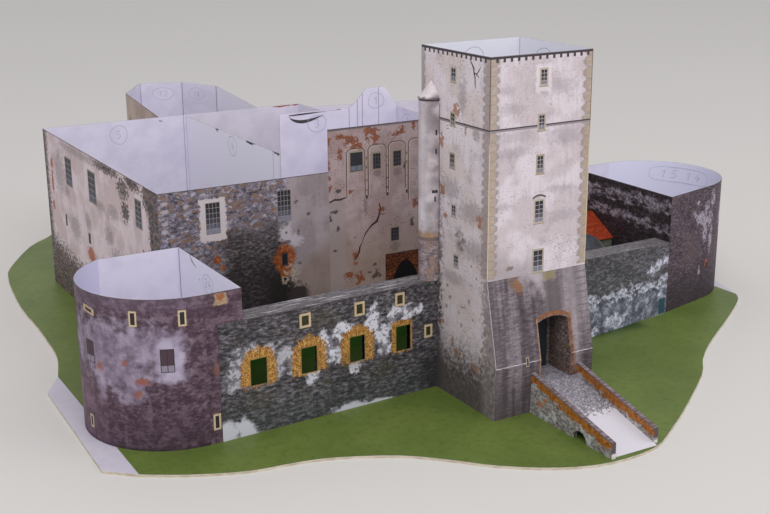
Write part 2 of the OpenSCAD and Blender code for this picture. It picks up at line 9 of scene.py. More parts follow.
import bpy
import bmesh
import numpy as np
from mathutils import Matrix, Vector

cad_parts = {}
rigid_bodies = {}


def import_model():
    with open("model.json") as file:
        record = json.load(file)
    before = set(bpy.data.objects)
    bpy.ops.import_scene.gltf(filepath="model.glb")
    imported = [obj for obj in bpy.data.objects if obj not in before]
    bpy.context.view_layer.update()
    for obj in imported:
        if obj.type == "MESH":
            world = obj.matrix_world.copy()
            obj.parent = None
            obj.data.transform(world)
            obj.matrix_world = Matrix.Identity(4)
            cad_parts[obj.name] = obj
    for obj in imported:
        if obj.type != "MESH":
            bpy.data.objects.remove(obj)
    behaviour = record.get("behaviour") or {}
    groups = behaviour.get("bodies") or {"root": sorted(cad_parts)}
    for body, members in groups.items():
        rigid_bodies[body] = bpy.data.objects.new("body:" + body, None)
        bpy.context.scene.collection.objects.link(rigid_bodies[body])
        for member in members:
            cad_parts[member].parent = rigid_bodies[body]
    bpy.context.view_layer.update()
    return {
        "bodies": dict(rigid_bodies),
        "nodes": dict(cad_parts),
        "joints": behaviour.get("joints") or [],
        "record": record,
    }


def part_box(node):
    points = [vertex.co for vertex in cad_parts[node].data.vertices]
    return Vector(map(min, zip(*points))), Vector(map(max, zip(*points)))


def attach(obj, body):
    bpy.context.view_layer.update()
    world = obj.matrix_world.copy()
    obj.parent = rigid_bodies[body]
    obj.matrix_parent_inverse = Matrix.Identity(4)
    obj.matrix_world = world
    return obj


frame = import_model()
nodes = frame["nodes"]

MM = 0.001
FRONT, REAR, LEFT, RIGHT = (0, -1, 0), (0, 1, 0), (-1, 0, 0), (1, 0, 0)
keep_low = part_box("keep_front_wall")[0]
corner = np.array([keep_low.x, keep_low.y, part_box("ground_sheet")[1].z])


def to_mm(point):
    """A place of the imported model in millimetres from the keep's corner."""
    return (np.asarray(point, float) - corner) / MM


def box_mm(name):
    """Lowest and highest corner of a wall in millimetres from the keep's corner."""
    low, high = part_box(name)
    return to_mm(low), to_mm(high)


# Colours


def ink(code):
    """A colour written as on a colour card, #rrggbb, turned into linear light."""
    srgb = np.array([int(code[i:i + 2], 16) for i in (1, 3, 5)]) / 255
    linear = np.where(srgb <= 0.04045, srgb / 12.92, ((srgb + 0.055) / 1.055) ** 2.4)
    return (*linear, 1.0)


CARD_WHITE = "#e6e1f3"
CARD_SHADE = "#dbd6ea"
# CARD_PAINTED_LIGHT is painted light: the same plain card, lighter, for insides that face away from the key
# lamp.
CARD_PAINTED_LIGHT = "#f4f1ff"
CUT_EDGE = "#5a5356"
PALE_EDGE = "#e2dcd4"
PENCIL = "#8d8a9c"


# Shader arithmetic


class Tone:
    """A shader socket, so that sums, products and limits of it read as plain arithmetic."""

    def __init__(self, paint, socket):
        self.paint = paint
        self.socket = socket

    def math(self, operation, first, second=0.0):
        return self.paint.node("ShaderNodeMath", {"operation": operation}, {0: first, 1: second})

    def __add__(self, other):
        return self.math("ADD", self, other)

    __radd__ = __add__

    def __sub__(self, other):
        return self.math("SUBTRACT", self, other)

    def __rsub__(self, other):
        return self.math("SUBTRACT", other, self)

    def __mul__(self, other):
        return self.math("MULTIPLY", self, other)

    __rmul__ = __mul__

    def __truediv__(self, other):
        return self.math("DIVIDE", self, other)

    def __gt__(self, limit):
        return self.math("GREATER_THAN", self, limit)

    def __lt__(self, limit):
        return self.math("LESS_THAN", self, limit)

    def __abs__(self):
        return self.math("ABSOLUTE", self)

    def __or__(self, other):
        return self.math("MAXIMUM", self, other)

    __and__ = __mul__

    def span(self, low, high):
        """Rises smoothly from 0 to 1 as the value goes from low to high."""
        return self.paint.node(
            "ShaderNodeMapRange", {"interpolation_type": "SMOOTHSTEP"},
            {"Value": self, "From Min": low, "From Max": high, "To Min": 0.0, "To Max": 1.0}
        )

    def wide(self):
        """A noise's usual range, about 0.28 to 0.72, spread over 0 to 1."""
        return self.span(0.28, 0.72)

    def wave(self, reach):
        """Runs up and down between 0 and reach as the value grows."""
        return self.math("PINGPONG", self, reach)

    def turn(self, ahead):
        """The angle of the direction (ahead, this value)."""
        return self.math("ARCTAN2", self, ahead)

    def lay(self, colour, mask):
        """This colour with another one laid on it where mask is 1."""
        return self.paint.mix(self, colour, mask)


class Paint:
    """A material being mixed: one Principled shader and the nodes that feed it."""

    def __init__(self, name, rough=0.62):
        self.material = bpy.data.materials.new(name)
        self.material.use_nodes = True
        self.tree = self.material.node_tree
        self.tree.nodes.clear()
        self.shader = self.tree.nodes.new("ShaderNodeBsdfPrincipled")
        output = self.tree.nodes.new("ShaderNodeOutputMaterial")
        self.tree.links.new(self.shader.outputs[0], output.inputs[0])
        self.shader.inputs["Roughness"].default_value = rough
        self.shader.inputs["Specular IOR Level"].default_value = 0.3
        self.place = self.node("ShaderNodeTexCoord", out="Object")
        moved = self.vector("SUBTRACT", self.place, tuple(corner))
        self.mm = self.vector("SCALE", moved, scale=1 / MM)
        self.x, self.y, self.z = (
            self.node("ShaderNodeSeparateXYZ", {}, {0: self.mm}, out=i) for i in range(3)
        )

    def node(self, kind, settings=None, inputs=None, out=0):
        """Adds a node: its settings first, then values, #rrggbb colours or links for its
        sockets."""
        made = self.tree.nodes.new(kind)
        for key, value in (settings or {}).items():
            setattr(made, key, value)
        for key, value in (inputs or {}).items():
            if isinstance(value, Tone):
                self.tree.links.new(value.socket, made.inputs[key])
            else:
                made.inputs[key].default_value = ink(value) if isinstance(value, str) else value
        return Tone(self, made.outputs[out])

    def vector(self, operation, first, second=(0.0, 0.0, 0.0), scale=1.0, out=0):
        return self.node(
            "ShaderNodeVectorMath", {"operation": operation}, {0: first, 1: second, 3: scale}, out
        )

    def join(self, x, y, z=0.0):
        return self.node("ShaderNodeCombineXYZ", {}, {0: x, 1: y, 2: z})

    def mix(self, under, over, mask):
        """The colour over laid on the colour under where mask is 1."""
        return self.node(
            "ShaderNodeMix", {"data_type": "RGBA"}, {0: mask, 6: under, 7: over}, out=2
        )

    def noise(self, at, size, detail=2.0, rough=0.55, stretch=(1.0, 1.0), shift=0.0):
        """Cloudy noise from 0 to 1 with spots of about that size in millimetres."""
        scaled = self.vector("MULTIPLY", at, (1 / (size * stretch[0]), 1 / (size * stretch[1]), 1 / size))
        moved = self.vector("ADD", scaled, (shift, 3 * shift, 0.0))
        return self.node(
            "ShaderNodeTexNoise", {"noise_dimensions": "3D"},
            {"Vector": moved, "Scale": 1.0, "Detail": detail, "Roughness": rough}
        )

    def ramp(self, value, *stops):
        """A colour ramp from (place, colour) stops, set before its input."""
        made = self.tree.nodes.new("ShaderNodeValToRGB")
        marks = made.color_ramp.elements
        while len(marks) < len(stops):
            marks.new(0.5)
        for mark, (place, colour) in zip(marks, stops):
            mark.position = place
            mark.color = ink(colour)
        self.tree.links.new(value.socket, made.inputs[0])
        return Tone(self, made.outputs[0])

    def finish(self, colour, height=None, bump=0.02, rough=None):
        """Feeds the colour, a roughness and a small height in millimetres to the shader."""
        self.tree.links.new(colour.socket, self.shader.inputs["Base Color"])
        if rough is not None:
            self.tree.links.new(rough.socket, self.shader.inputs["Roughness"])
        if height is not None:
            bumped = self.node(
                "ShaderNodeBump", {}, {"Strength": 1.0, "Distance": bump * MM, "Height": height}
            )
            self.tree.links.new(bumped.socket, self.shader.inputs["Normal"])
        return self.material


# Printed faces


class Flat:
    """The flat outer face of a card wall. Its places are (u, v): u is the plan coordinate
    along the wall, X or Y, and v is the height, both in millimetres."""

    def __init__(self, name, toward):
        mesh = nodes[name].data
        mesh.calc_loop_triangles()
        spots = np.empty(len(mesh.vertices) * 3)
        mesh.vertices.foreach_get("co", spots)
        spots = to_mm(spots.reshape(-1, 3))
        corners = np.empty(len(mesh.loop_triangles) * 3, int)
        mesh.loop_triangles.foreach_get("vertices", corners)
        a, b, c = (spots[corners.reshape(-1, 3)[:, k]] for k in range(3))
        cross = np.cross(b - a, c - a)
        area = np.linalg.norm(cross, axis=1)
        normal = cross / np.maximum(area, 1e-9)[:, None]
        aim = np.asarray(toward, float)
        aim = aim / np.linalg.norm(aim)
        facing = normal @ aim
        best = np.argmax(area * (facing > facing.max() - 0.02))
        self.normal = normal[best]
        self.level = float(a[best] @ self.normal)
        self.along = 0 if abs(self.normal[1]) > abs(self.normal[0]) else 1
        self.right = float(np.sign(self.normal[0] if self.along else -self.normal[1]))

    def spot(self, u, v, out=0.0):
        """Row-frame points: the plane's equation n.p = level + out is solved for the
        plan coordinate that u doesn't give."""
        u, v, out = np.broadcast_arrays(*(np.asarray(k, float) for k in (u, v, out)))
        across = 1 - self.along
        rest = self.level + out - self.normal[self.along] * u - self.normal[2] * v
        points = np.zeros(u.shape + (3,))
        points[..., self.along] = u
        points[..., across] = rest / self.normal[across]
        points[..., 2] = v
        return points * MM + corner

    def places(self, paint):
        """Shader values u, v and the distance out of the face in millimetres."""
        u = (paint.x, paint.y)[self.along]
        level = paint.vector("DOT_PRODUCT", paint.mm, tuple(self.normal), out=1)
        return u, paint.z, level - self.level


class Folded:
    """Faces of one folded strip that stick out at their folds: a place's distance out of
    the strip is its greatest distance out of any of the planes."""

    def __init__(self, name, *towards):
        self.faces = [Flat(name, toward) for toward in towards]

    def places(self, paint):
        u, v, depth = self.faces[0].places(paint)
        for face in self.faces[1:]:
            depth = depth | face.places(paint)[2]
        return u, v, depth


class Round:
    """A face of a round card wall; side is 1 on its outer face and -1 on its inner one.
    Its u is the length along the round from the direction -Y, counter-clockwise from
    above, and v is the height, in millimetres."""

    def __init__(self, centre, radius, side=1):
        self.centre = centre
        self.radius = radius
        self.right = self.side = side

    def spot(self, u, v, out=0.0):
        """Row-frame points at the angle u / radius and the distance radius + out."""
        u, v, out = np.broadcast_arrays(*(np.asarray(k, float) for k in (u, v, out)))
        angle = u / self.radius - math.pi / 2
        reach = self.radius + self.side * out
        points = np.stack([
            self.centre[0] + reach * np.cos(angle), self.centre[1] + reach * np.sin(angle), v
        ], axis=-1)
        return points * MM + corner

    def places(self, paint):
        """Shader values u, v and the distance out of the face in millimetres."""
        dx = paint.x - self.centre[0]
        dy = paint.y - self.centre[1]
        angle = dx.turn(dy * -1.0)
        away = paint.vector("LENGTH", paint.join(dx, dy), out=1)
        return angle * self.radius, paint.z, away - self.radius


class Print:
    """The printed picture of one wall: its places and the noises that its parts share."""

    def __init__(self, paint, face, shift=0.0):
        self.paint = paint
        self.u, self.v, self.depth = face.places(paint)
        self.at = paint.join(self.u, self.v, shift)
        self.share_noises(shift)

    def share_noises(self, shift):
        """Noises of several sizes, each spread over the whole range from 0 to 1."""
        paint = self.paint
        self.ragged = paint.noise(self.at, 2.6, detail=5.0, rough=0.68, shift=shift).wide()
        self.grain = paint.noise(self.at, 0.9, detail=3.0, rough=0.6, shift=shift).wide()
        self.puff = paint.noise(self.at, 7.0, detail=5.0, rough=0.62, shift=shift).wide()
        self.cloud = paint.noise(self.at, 24.0, detail=3.0, shift=shift).wide()
        runs = paint.noise(self.at, 2.2, detail=3.0, stretch=(1.0, 9.0), shift=shift)
        self.streaks = runs.wide()

    def tear(self, size):
        """A small torn shift, at most half that size to either side."""
        return (self.ragged - 0.5) * size

    def sway(self, size):
        """The same with softer and larger bends."""
        return (self.puff - 0.5) * size

    def mottle(self, share, *stops):
        """A ramp of colours on the torn noise, by its share, and on the fine one."""
        return self.paint.ramp(self.ragged * share + self.grain * (1 - share), *stops)

    def nearness(self, u, v, reach_u, reach_v):
        """Rises from 0 outside an oval, through 1 on its edge, to 2 in its middle."""
        away = self.paint.vector("SUBTRACT", self.at, (u, v, 0.0))
        flat = self.paint.vector("MULTIPLY", away, (1 / reach_u, 1 / reach_v, 0.0))
        return 2.0 - self.paint.vector("LENGTH", flat, out=1)

    def spots(self, places, fuzz=0.8, soft=0.25, by=None):
        """Mask of oval patches (u, v, reach_u, reach_v) whose edge is torn by a noise."""
        near = self.nearness(*places[0])
        for place in places[1:]:
            near = near | self.nearness(*place)
        near = near + ((by or self.ragged) - 0.5) * fuzz
        return near.span(1.0 - soft / 2, 1.0 + soft / 2)

    def spot(self, u, v, reach_u, reach_v, fuzz=0.8, soft=0.25):
        """Mask of one oval patch with a torn edge."""
        return self.spots([(u, v, reach_u, reach_v)], fuzz, soft)

    def panel(self, u0, u1, v0, v1, torn=0.6, soft=0.4):
        """Mask of a rectangle with a torn edge."""
        across = abs(self.u - (u0 + u1) / 2) - (u1 - u0) / 2
        upright = abs(self.v - (v0 + v1) / 2) - (v1 - v0) / 2
        return ((across | upright) + self.tear(torn)).span(soft / 2, -soft / 2)

    def below(self, height, fuzz=6.0, soft=3.0, slope=0.0):
        """Mask of what lies under a torn line across the wall."""
        line = self.v - self.u * slope + self.tear(fuzz)
        return line.span(height + soft, height - soft)

    def left_of(self, place, fuzz=6.0, soft=1.5, slope=0.0):
        """Mask of what has a smaller u than a torn upright line."""
        line = self.u - self.v * slope + self.tear(fuzz)
        return line.span(place + soft, place - soft)


def plaster(art, base, pale, grey, speck="#6b5d60", specks=0.5):
    """Old render: a pale ground with cloudy grey stains, faint runs, small torn blotches
    and fine dark specks."""
    paint = art.paint
    colour = paint.mix(base, pale, art.cloud.span(0.25, 0.75))
    blotch = paint.noise(art.at, 13.0, detail=4.0, rough=0.6, shift=7.3)
    colour = colour.lay(grey, blotch.span(0.54, 0.8) * 0.55)
    colour = colour.lay(grey, art.streaks.span(0.6, 1.0) * 0.2)
    colour = colour.lay(pale, art.grain.span(0.4, 1.0) * 0.3)
    torn = paint.noise(art.at, 3.0, detail=4.0, rough=0.7, shift=2.1)
    colour = colour.lay(speck, torn.span(0.63, 0.74) * specks * 0.7)
    dots = paint.noise(art.at, 0.9, detail=1.0, shift=5.2)
    rare = paint.noise(art.at, 9.0, detail=2.0, shift=3.1)
    dark = (dots + (rare - 0.5) * 0.35).span(0.66, 0.72)
    return colour.lay(speck, dark * specks)


def rubble(art, dark, middle, light, warm=None, size=(4.4, 2.0), warm_share=0.62):
    """Rubble courses: noise drawn out along the courses, with a weak tone of each stone,
    weak joints and fine grain."""
    paint = art.paint
    drawn_out = (size[0] / size[1], 1.0)
    lens = paint.noise(art.at, size[1] * 0.75, detail=5.0, rough=0.66, stretch=drawn_out, shift=4.4)
    bent = paint.join((art.u + art.ragged * 2.2) / size[0], (art.v + art.ragged * 1.1) / size[1])
    settings = {"Vector": bent, "Scale": 1.0, "Randomness": 0.8}
    own = paint.node("ShaderNodeTexVoronoi", {"feature": "F1"}, settings, out="Color")
    joint = paint.node("ShaderNodeTexVoronoi", {"feature": "DISTANCE_TO_EDGE"}, settings)
    stone, kind, third = (
        paint.node("ShaderNodeSeparateColor", {}, {0: own}, out=k) for k in range(3)
    )
    level = lens.wide() * 0.62 + stone * 0.16 + art.grain * 0.12 + art.cloud * 0.12
    colour = paint.ramp(level, (0.2, dark), (0.5, middle), (0.82, light))
    if warm is not None:
        warm_mask = (kind + art.tear(0.5)).span(warm_share, warm_share + 0.2)
        colour = colour.lay(warm, warm_mask * lens.span(0.4, 0.6))
    return colour.lay(dark, joint.span(0.1, 0.0) * 0.4)


def quoins(art, colour, corner, away, stone, reach=4.2, lobe=2.0, pitch=5.2, low=82.0, strength=0.8):
    """Corner stones as one torn band from the corner's place: its width swells by lobe at
    each course. away is 1 or -1, the wall's direction from there."""
    paint = art.paint
    course = art.v.wave(pitch / 2)
    swell = (course * (2 / pitch)).span(0.0, 0.7)
    inward = (art.u - corner) * away
    band = (inward - swell * lobe - art.tear(1.6)).span(reach + 0.4, reach - 0.5)
    band = band & art.v.span(low, low + 1.0)
    tone = paint.mix(stone, KEEP_PALE, art.ragged.span(0.45, 1.0) * 0.35)
    tone = tone.lay("#75665a", swell.span(0.2, 0.0) * 0.5)
    tone = tone.lay("#8b7b79", inward.span(reach - 0.6, reach + lobe - 0.4) * 0.6)
    colour = colour.lay(tone, band * strength)
    rim = abs(inward - swell * lobe - art.tear(1.6) - reach)
    rim = rim.span(0.7, 0.1) & art.v.span(low, low + 1.0)
    colour = colour.lay("#756a66", rim * 0.4)
    shade = inward.span(reach + lobe + 2.5, reach + lobe - 1.0) & art.v.span(low, low + 1.0)
    colour = colour.lay(KEEP_GREY, shade * 0.25)
    line = paint.mix("#d6c6a2", "#705e50", art.v.span(150.0, 172.0))
    return colour.lay(line, inward.span(0.55, 0.4) & art.v.span(low, low + 1.0))


def dress(name, art, colour, rough=0.6):
    """Puts a finished colour on a packed wall, with the card's fine weave."""
    weave = art.paint.noise(art.at, 0.35, detail=2.0)
    material = art.paint.finish(colour, weave, 0.012, rough - 0.08 + 0.16 * art.grain)
    nodes[name].data.materials.clear()
    nodes[name].data.materials.append(material)


def card_wall(name, face, picture, folds=(), edge=CUT_EDGE, thickness=0.5, top_line=0.7,
              bleed=None, back=None, rough=0.6):
    """The finish of a card wall: its picture outside, plain card inside, inked cut edges.

    folds are the inner places of thin dark fold lines. bleed is a mask of printer's ink
    that ran over the top edge to the inside. back replaces the plain card colour of the
    inside with a lighter or darker one: painted light or painted shade on the same card."""
    paint = Paint(name + "_print", rough)
    art = Print(paint, face, shift=0.37 * (len(name) % 9) + 0.11)
    outside = picture(art)
    top = box_mm(name)[1][2]
    if top_line:
        outside = outside.lay(edge, art.v.span(top - top_line, top - 0.25) * 0.85)
    fibre = paint.noise(art.at, 14.0, detail=4.0)
    inside = paint.mix(back or CARD_WHITE, back or CARD_SHADE, fibre.span(0.35, 0.7))
    for place in folds:
        offset = art.u - place
        line = (offset * offset).span(0.11, 0.02)
        inside = inside.lay(PENCIL, line * 0.9)
    if bleed is not None:
        inside = inside.lay("#3c3a40", bleed(art))
    cut = paint.mix(edge, PALE_EDGE, art.ragged.span(0.6, 0.8) * 0.5)
    colour = cut.lay(outside, art.depth > -0.12)
    colour = colour.lay(inside, art.depth < -(thickness - 0.1))
    dress(name, art, colour, rough)


def wall(name, toward, picture, **finish):
    """A flat wall with its finish. It gives back the wall's face for the pieces on it."""
    face = Flat(name, toward)
    card_wall(name, face, picture, **finish)
    return face


# Keep

KEEP_W = box_mm("keep_front_wall")[1][0]
KEEP_D = box_mm("keep_rear_wall")[1][1]
KEEP_BASE, KEEP_PALE, KEEP_GREY = "#c9bdc3", "#dcd2da", "#9f959a"
ORANGE = "#b4713f"


def keep_front_picture(art):
    """Plaster of the keep's upper front and rear: stains near the top, pocks lower down."""
    paint = art.paint
    colour = plaster(art, KEEP_BASE, KEEP_PALE, KEEP_GREY)
    stains = [(44, 189.5, 15, 4.5), (15, 178.5, 8, 3), (17, 154.2, 11, 2.6), (11, 189, 4, 3.4),
              (52, 160.5, 14, 5), (48, 130, 10, 2.2), (10, 124, 5, 2), (52, 114, 9, 3.4),
              (16, 163, 14, 3.4)]
    colour = colour.lay("#9d949b", art.spots(stains, 0.9, 1.1) * 0.45)
    pock = art.spots([(56, 92, 12, 8), (50, 99, 8, 4)], 0.8, 0.6)
    dots = paint.noise(art.at, 1.1, detail=1, shift=4)
    colour = colour.lay("#7a6f76", pock & dots.span(0.6, 0.7))
    colour = colour.lay("#8f868a", art.spots([(14, 84, 20, 4)], 0.8, 0.9) * 0.35)
    colour = colour.lay("#ebe2e8", art.panel(30.6, 41.4, 186.6, 201.8, 1.4, 1.6) * 0.6)
    soft = (art.v - abs(art.u - 22) * 0.5 + art.sway(5)).span(96, 84)
    soft = soft & art.u.span(36, 31)
    colour = colour.lay("#a79ca2", soft * 0.6)
    colour = colour.lay("#6d5448", art.spots([(15.6, 87, 2, 1.4)], 1, 0.6) * 0.7)
    colour = quoins(art, colour, 0, 1, "#ad987a")
    return quoins(art, colour, KEEP_W, -1, "#a8926f", reach=3.8, lobe=2.4, pitch=6.6)


def keep_side_picture(art):
    """Plaster of the keep's sides: greyer and more stained towards the foot, with painted shade beside the
    stair turret.
    """
    paint = art.paint
    colour = plaster(art, "#dbcdcd", "#e4dae1", "#938a8e", specks=0.8)
    colour = colour.lay("#988d90", art.v.span(165, 60) * 0.3)
    greys = [(26.8, 96, 5, 6), (29.6, 103, 3.4, 4), (12.7, 164, 4, 3), (16, 118, 16, 6),
             (12, 96, 14, 6), (40, 128, 12, 6), (35, 75, 12, 4), (27, 183, 4, 9)]
    colour = colour.lay("#857c80", art.spots(greys, 1, 1) * 0.5)
    torn = [(29, 103, 3, 3), (26, 98, 5, 5), (12.7, 164, 2.6, 3), (24, 60, 3, 2), (16, 75, 2, 3),
            (8, 108, 2, 6), (9, 92, 2, 5), (38, 120, 4, 2)]
    flecks = [(31.9, 101.7, 1.6, 1.5), (25.3, 100, 1.8, 1.4), (27.8, 97.6, 1.2, 1.4), (26.5, 94.8, 1.7, 1.5),
              (42.1, 55.6, 1.6, 1.6), (18.1, 64.4, 1.1, 1.5), (10.7, 80.8, 0.9, 1), (16, 86.9, 0.8, 1.1),
              (28.5, 55.2, 0.7, 1.1), (25.7, 47.9, 0.9, 1.4), (14, 54.8, 1, 0.9), (34.9, 33.5, 1.2, 1.4),
              (47.7, 58.2, 1.2, 1.6), (40.9, 68.8, 1.2, 1.2), (38, 62, 1.6, 1.2), (30, 86, 1, 0.8)]
    colour = colour.lay("#7a7074", art.spots(flecks, 0.9, 0.7) * 0.75)
    crumbs = paint.noise(art.at, 2.4, detail=3, rough=0.7, shift=8)
    colour = colour.lay("#6c6266", art.spots(torn, 0.6, 0.5) & crumbs.span(0.5, 0.62) * 0.7)
    oranges = [(33.4, 174.4, 3, 3), (48, 155.3, 2.4, 3.6), (23.6, 166, 1.4, 3),
               (47, 125.8, 2, 3.4), (44.1, 110.7, 1.8, 1.8), (8.3, 115.2, 2.2, 3.6),
               (46, 44.6, 3.4, 1.6), (35.1, 36.2, 1.2, 1.6), (30.6, 29.5, 1.6, 2),
               (22.4, 30.2, 1.2, 1.2), (12, 25, 3, 2.6)]
    rust = paint.mix(ORANGE, "#8f5a3a", art.grain)
    colour = colour.lay(rust, art.spots(oranges, 1.6, 0.35) * 0.8)
    low_dark = art.below(30, 18, 15)
    dirt = paint.mix("#2f2b2b", "#5c5453", art.ragged)
    colour = colour.lay(dirt, low_dark * 0.94)
    # Painted shade over the rear part of the side, darker lower down, beside the stair turret on the left
    # wall.
    rear_painted_shade = (art.u + art.tear(9)).span(45, 52)
    colour = colour.lay("#4d4549", rear_painted_shade & art.v.span(165, 60))
    # Painted shade: a dark line in the crease where the stair turret meets the wall.
    crease_painted_shade = abs(art.u - 50.6).span(0.7, 0.3) & art.v.span(177, 175)
    colour = colour.lay("#3a3236", crease_painted_shade & art.v.span(60, 90) * 0.7)
    near_dark = (art.u + art.tear(9)).span(5.5, 0.5)
    cheek = paint.mix("#655b5e", "#9a9093", art.ragged)
    colour = colour.lay(cheek, near_dark & art.v.span(120, 90) * 0.8)
    colour = quoins(art, colour, 0, 1, "#9a8b82", reach=3.8, lobe=2.4, strength=0.75)
    return quoins(art, colour, KEEP_D, -1, "#8f8578", reach=2.4, lobe=1.6, pitch=6.6, strength=0.6)


def batter_picture(art):
    """Purple-grey courses under soft upright runs, paler to the right and over the gate."""
    paint = art.paint
    runs = paint.noise(art.at, 4.6, detail=3, stretch=(1, 16), shift=1.7).wide()
    courses = paint.noise(art.at, 1.3, detail=4, rough=0.62, stretch=(3.2, 1), shift=3.7).wide()
    level = runs * 0.42 + courses * 0.34 + art.grain * 0.14 + art.cloud * 0.1
    colour = paint.ramp(level, (0.15, "#3d353b"), (0.5, "#655b62"), (0.88, "#968d94"))
    colour = colour.lay("#453d43", art.below(20, 18, 14) * 0.55)
    colour = colour.lay("#64595f", art.left_of(5, 4, 4) * 0.45)
    right_pale = (art.u + art.tear(4)).span(55, 57.5)
    right_pale = right_pale & art.u.span(62, 59)
    upper = (art.v + art.tear(10)).span(26, 60)
    colour = colour.lay("#d6cccf", (right_pale & art.v.span(16, 26)) * 0.12)
    top_pale = art.u.span(44, 56) & upper
    colour = colour.lay("#b9afb5", top_pale * 0.3)
    soft_top = (art.v + art.sway(10) + (art.u - 30) * 0.5).span(68, 84)
    soft_top = soft_top & art.u.span(12, 26) & art.u.span(44, 36)
    colour = colour.lay("#bdb2b8", soft_top * 0.8)
    colour = colour.lay("#625a5c", art.panel(39, 48.6, 58.5, 76, 2, 2) * 0.8)
    colour = colour.lay("#8f8262", art.panel(38.6, 47.6, 76.6, 85.4, 1.6, 1.4) * 0.8)
    blotch = [(15.4, 80.4, 1.4, 0.8), (19.4, 77.6, 3, 2.2), (21.6, 74.4, 2.2, 2.6)]
    colour = colour.lay("#94683c", art.spots(blotch, 1.2, 1.4) * 0.75)
    course = art.v.wave(1.95)
    ticks = course.span(0.5, 0.1) & (art.u.span(61.4, 62.4) | art.u.span(3.6, 3))
    colour = colour.lay("#453b41", ticks & art.v.span(31, 33) * 0.5)
    glow = art.panel(29.6, 57, 20, 57.4, 1, 2.4) & art.u.span(50, 56)
    return colour.lay("#8b6a5a", glow * 0.5)


batter_face = Folded("keep_batter", (0, -1, 0.21), (0, -1, -0.03))
batter_top, batter_foot = batter_face.faces

front_face = wall("keep_front_wall", FRONT, keep_front_picture)
card_wall("keep_batter", batter_face, batter_picture, top_line=0)
left_face = wall("keep_left_wall", LEFT, keep_side_picture, folds=(KEEP_D - 1.2,))
# The insides of the keep's right and rear walls get lighter card: painted light.
right_face = wall("keep_right_wall", RIGHT, keep_side_picture, folds=(KEEP_D - 1.2,), back="#ebecf5")
rear_face = wall("keep_rear_wall", REAR, keep_front_picture, back="#ebecf5")


# Gate passage and bridge


class FreePrint(Print):
    """A print that covers every side of a piece, on places that a caller gives."""

    def __init__(self, paint, at):
        self.paint = paint
        self.at = at
        self.u, self.v = (
            paint.node("ShaderNodeSeparateXYZ", {}, {0: at}, out=i) for i in range(2)
        )
        self.share_noises(0)


def gate_stone(name, tones):
    """Dim rubble on a face of the gate passage, with no separate inside."""
    paint = Paint(name)
    art = FreePrint(paint, paint.join(paint.x + paint.y, paint.z))
    return art, rubble(art, *tones, size=(3, 1.6))


def gate_pieces():
    """Passage walls of warm dark rubble and a dim end wall with its door."""
    for name in ("gate_side_walls", "gate_vault"):
        art, colour = gate_stone(
            name + "_print", ("#3c3234", "#6f6260", "#a3978f", "#8a6446")
        )
        paint = art.paint
        # Painted shade: the passage walls and vault darken deeper into the passage.
        colour = colour.lay("#2e282b", paint.y.span(-2, 11) * 0.5)
        dress(name, art, colour)
    art, colour = gate_stone("gate_back_print", ("#3a3234", "#62564f", "#8d8078"))
    paint = art.paint
    across = (paint.x - 43) / 9.2
    rise = (paint.z - 44) / 7
    above = rise | 0
    arch = (across * across + above * above).span(1.05, 0.95)
    colour = colour.lay("#222930", arch)
    dress("gate_back_wall", art, colour)


def cobbles(art):
    """Small grey cobbles with pale specks."""
    paint = art.paint
    at = paint.vector("MULTIPLY", art.at, (0.9, 0.9, 0))
    own = paint.node("ShaderNodeTexVoronoi", {"feature": "F1"}, {"Vector": at, "Scale": 1}, out="Color")
    tone = paint.node("ShaderNodeSeparateColor", {}, {0: own})
    colour = paint.ramp(
        tone * 0.5 + art.grain * 0.3 + art.puff * 0.25, (0.2, "#6b6870"), (0.55, "#8d8993"), (0.9, "#b9b5be")
    )
    white = paint.noise(art.at, 3, detail=3, shift=5).span(0.5, 0.62)
    near = paint.y.span(-26, -40)
    return colour.lay("#e0dde4", white * near * art.grain.span(0.4, 0.7))


def bridge_pieces():
    """Cobbles down to a torn line and bare card beyond it; parapets with a purple-grey
    coping, a ragged orange band and pale rubble at the foot."""
    for name in ("bridge_deck", "gate_floor"):
        paint = Paint(name + "_print")
        art = FreePrint(paint, paint.join(paint.x, paint.y))
        bare = "#dcd9e3"
        edge = (paint.y + art.tear(12)).span(-44.5, -46.5)
        colour = paint.mix(cobbles(art), bare, edge)
        faint = paint.noise(art.at, 1.6, detail=3, shift=2)
        colour = colour.lay("#b7afb6", edge * faint.span(0.62, 0.8) * 0.6)
        dress(name, art, colour)
    for name in ("bridge_left_parapet", "bridge_right_parapet"):
        low, high = box_mm(name)
        paint = Paint(name + "_print")
        art = FreePrint(paint, paint.join(paint.y, paint.z))
        colour = rubble(art, "#4f484c", "#8b8584", "#bfbbb9", size=(3.4, 2))
        white = paint.noise(art.at, 7, detail=4, rough=0.65, shift=3)
        colour = colour.lay("#cfced4", white.span(0.48, 0.64) * 0.75)
        colour = colour.lay(ORANGE, art.spots([(-24, 12, 2, 1.4), (-19, 8.4, 3, 1.6)], 1, 0.4) * 0.8)
        line = paint.z - (paint.y - low[1]) * ((high[2] - 9.3) / (high[1] - low[1])) - 9.3
        band = (line + art.sway(4) + art.tear(2)).span(-6, -5.2)
        rust = art.mottle(0.6, (0.15, "#6b3d14"), (0.5, "#a3611f"), (0.9, "#c08a45"))
        colour = colour.lay(rust, band)
        top = (line + art.tear(0.8)).span(-1.1, -0.8)
        coping = paint.ramp(art.grain, (0.3, "#5c4b4c"), (0.7, "#8d8288"))
        colour = colour.lay(coping, top)
        end = paint.y.span(low[1] + 0.35, low[1] + 0.1)
        end_tone = paint.mix("#5a4a52", "#dad5d6", art.below(3, 2, 0.6))
        colour = colour.lay(end_tone, end)
        dress(name, art, colour)


gate_pieces()
bridge_pieces()


# Stair turret


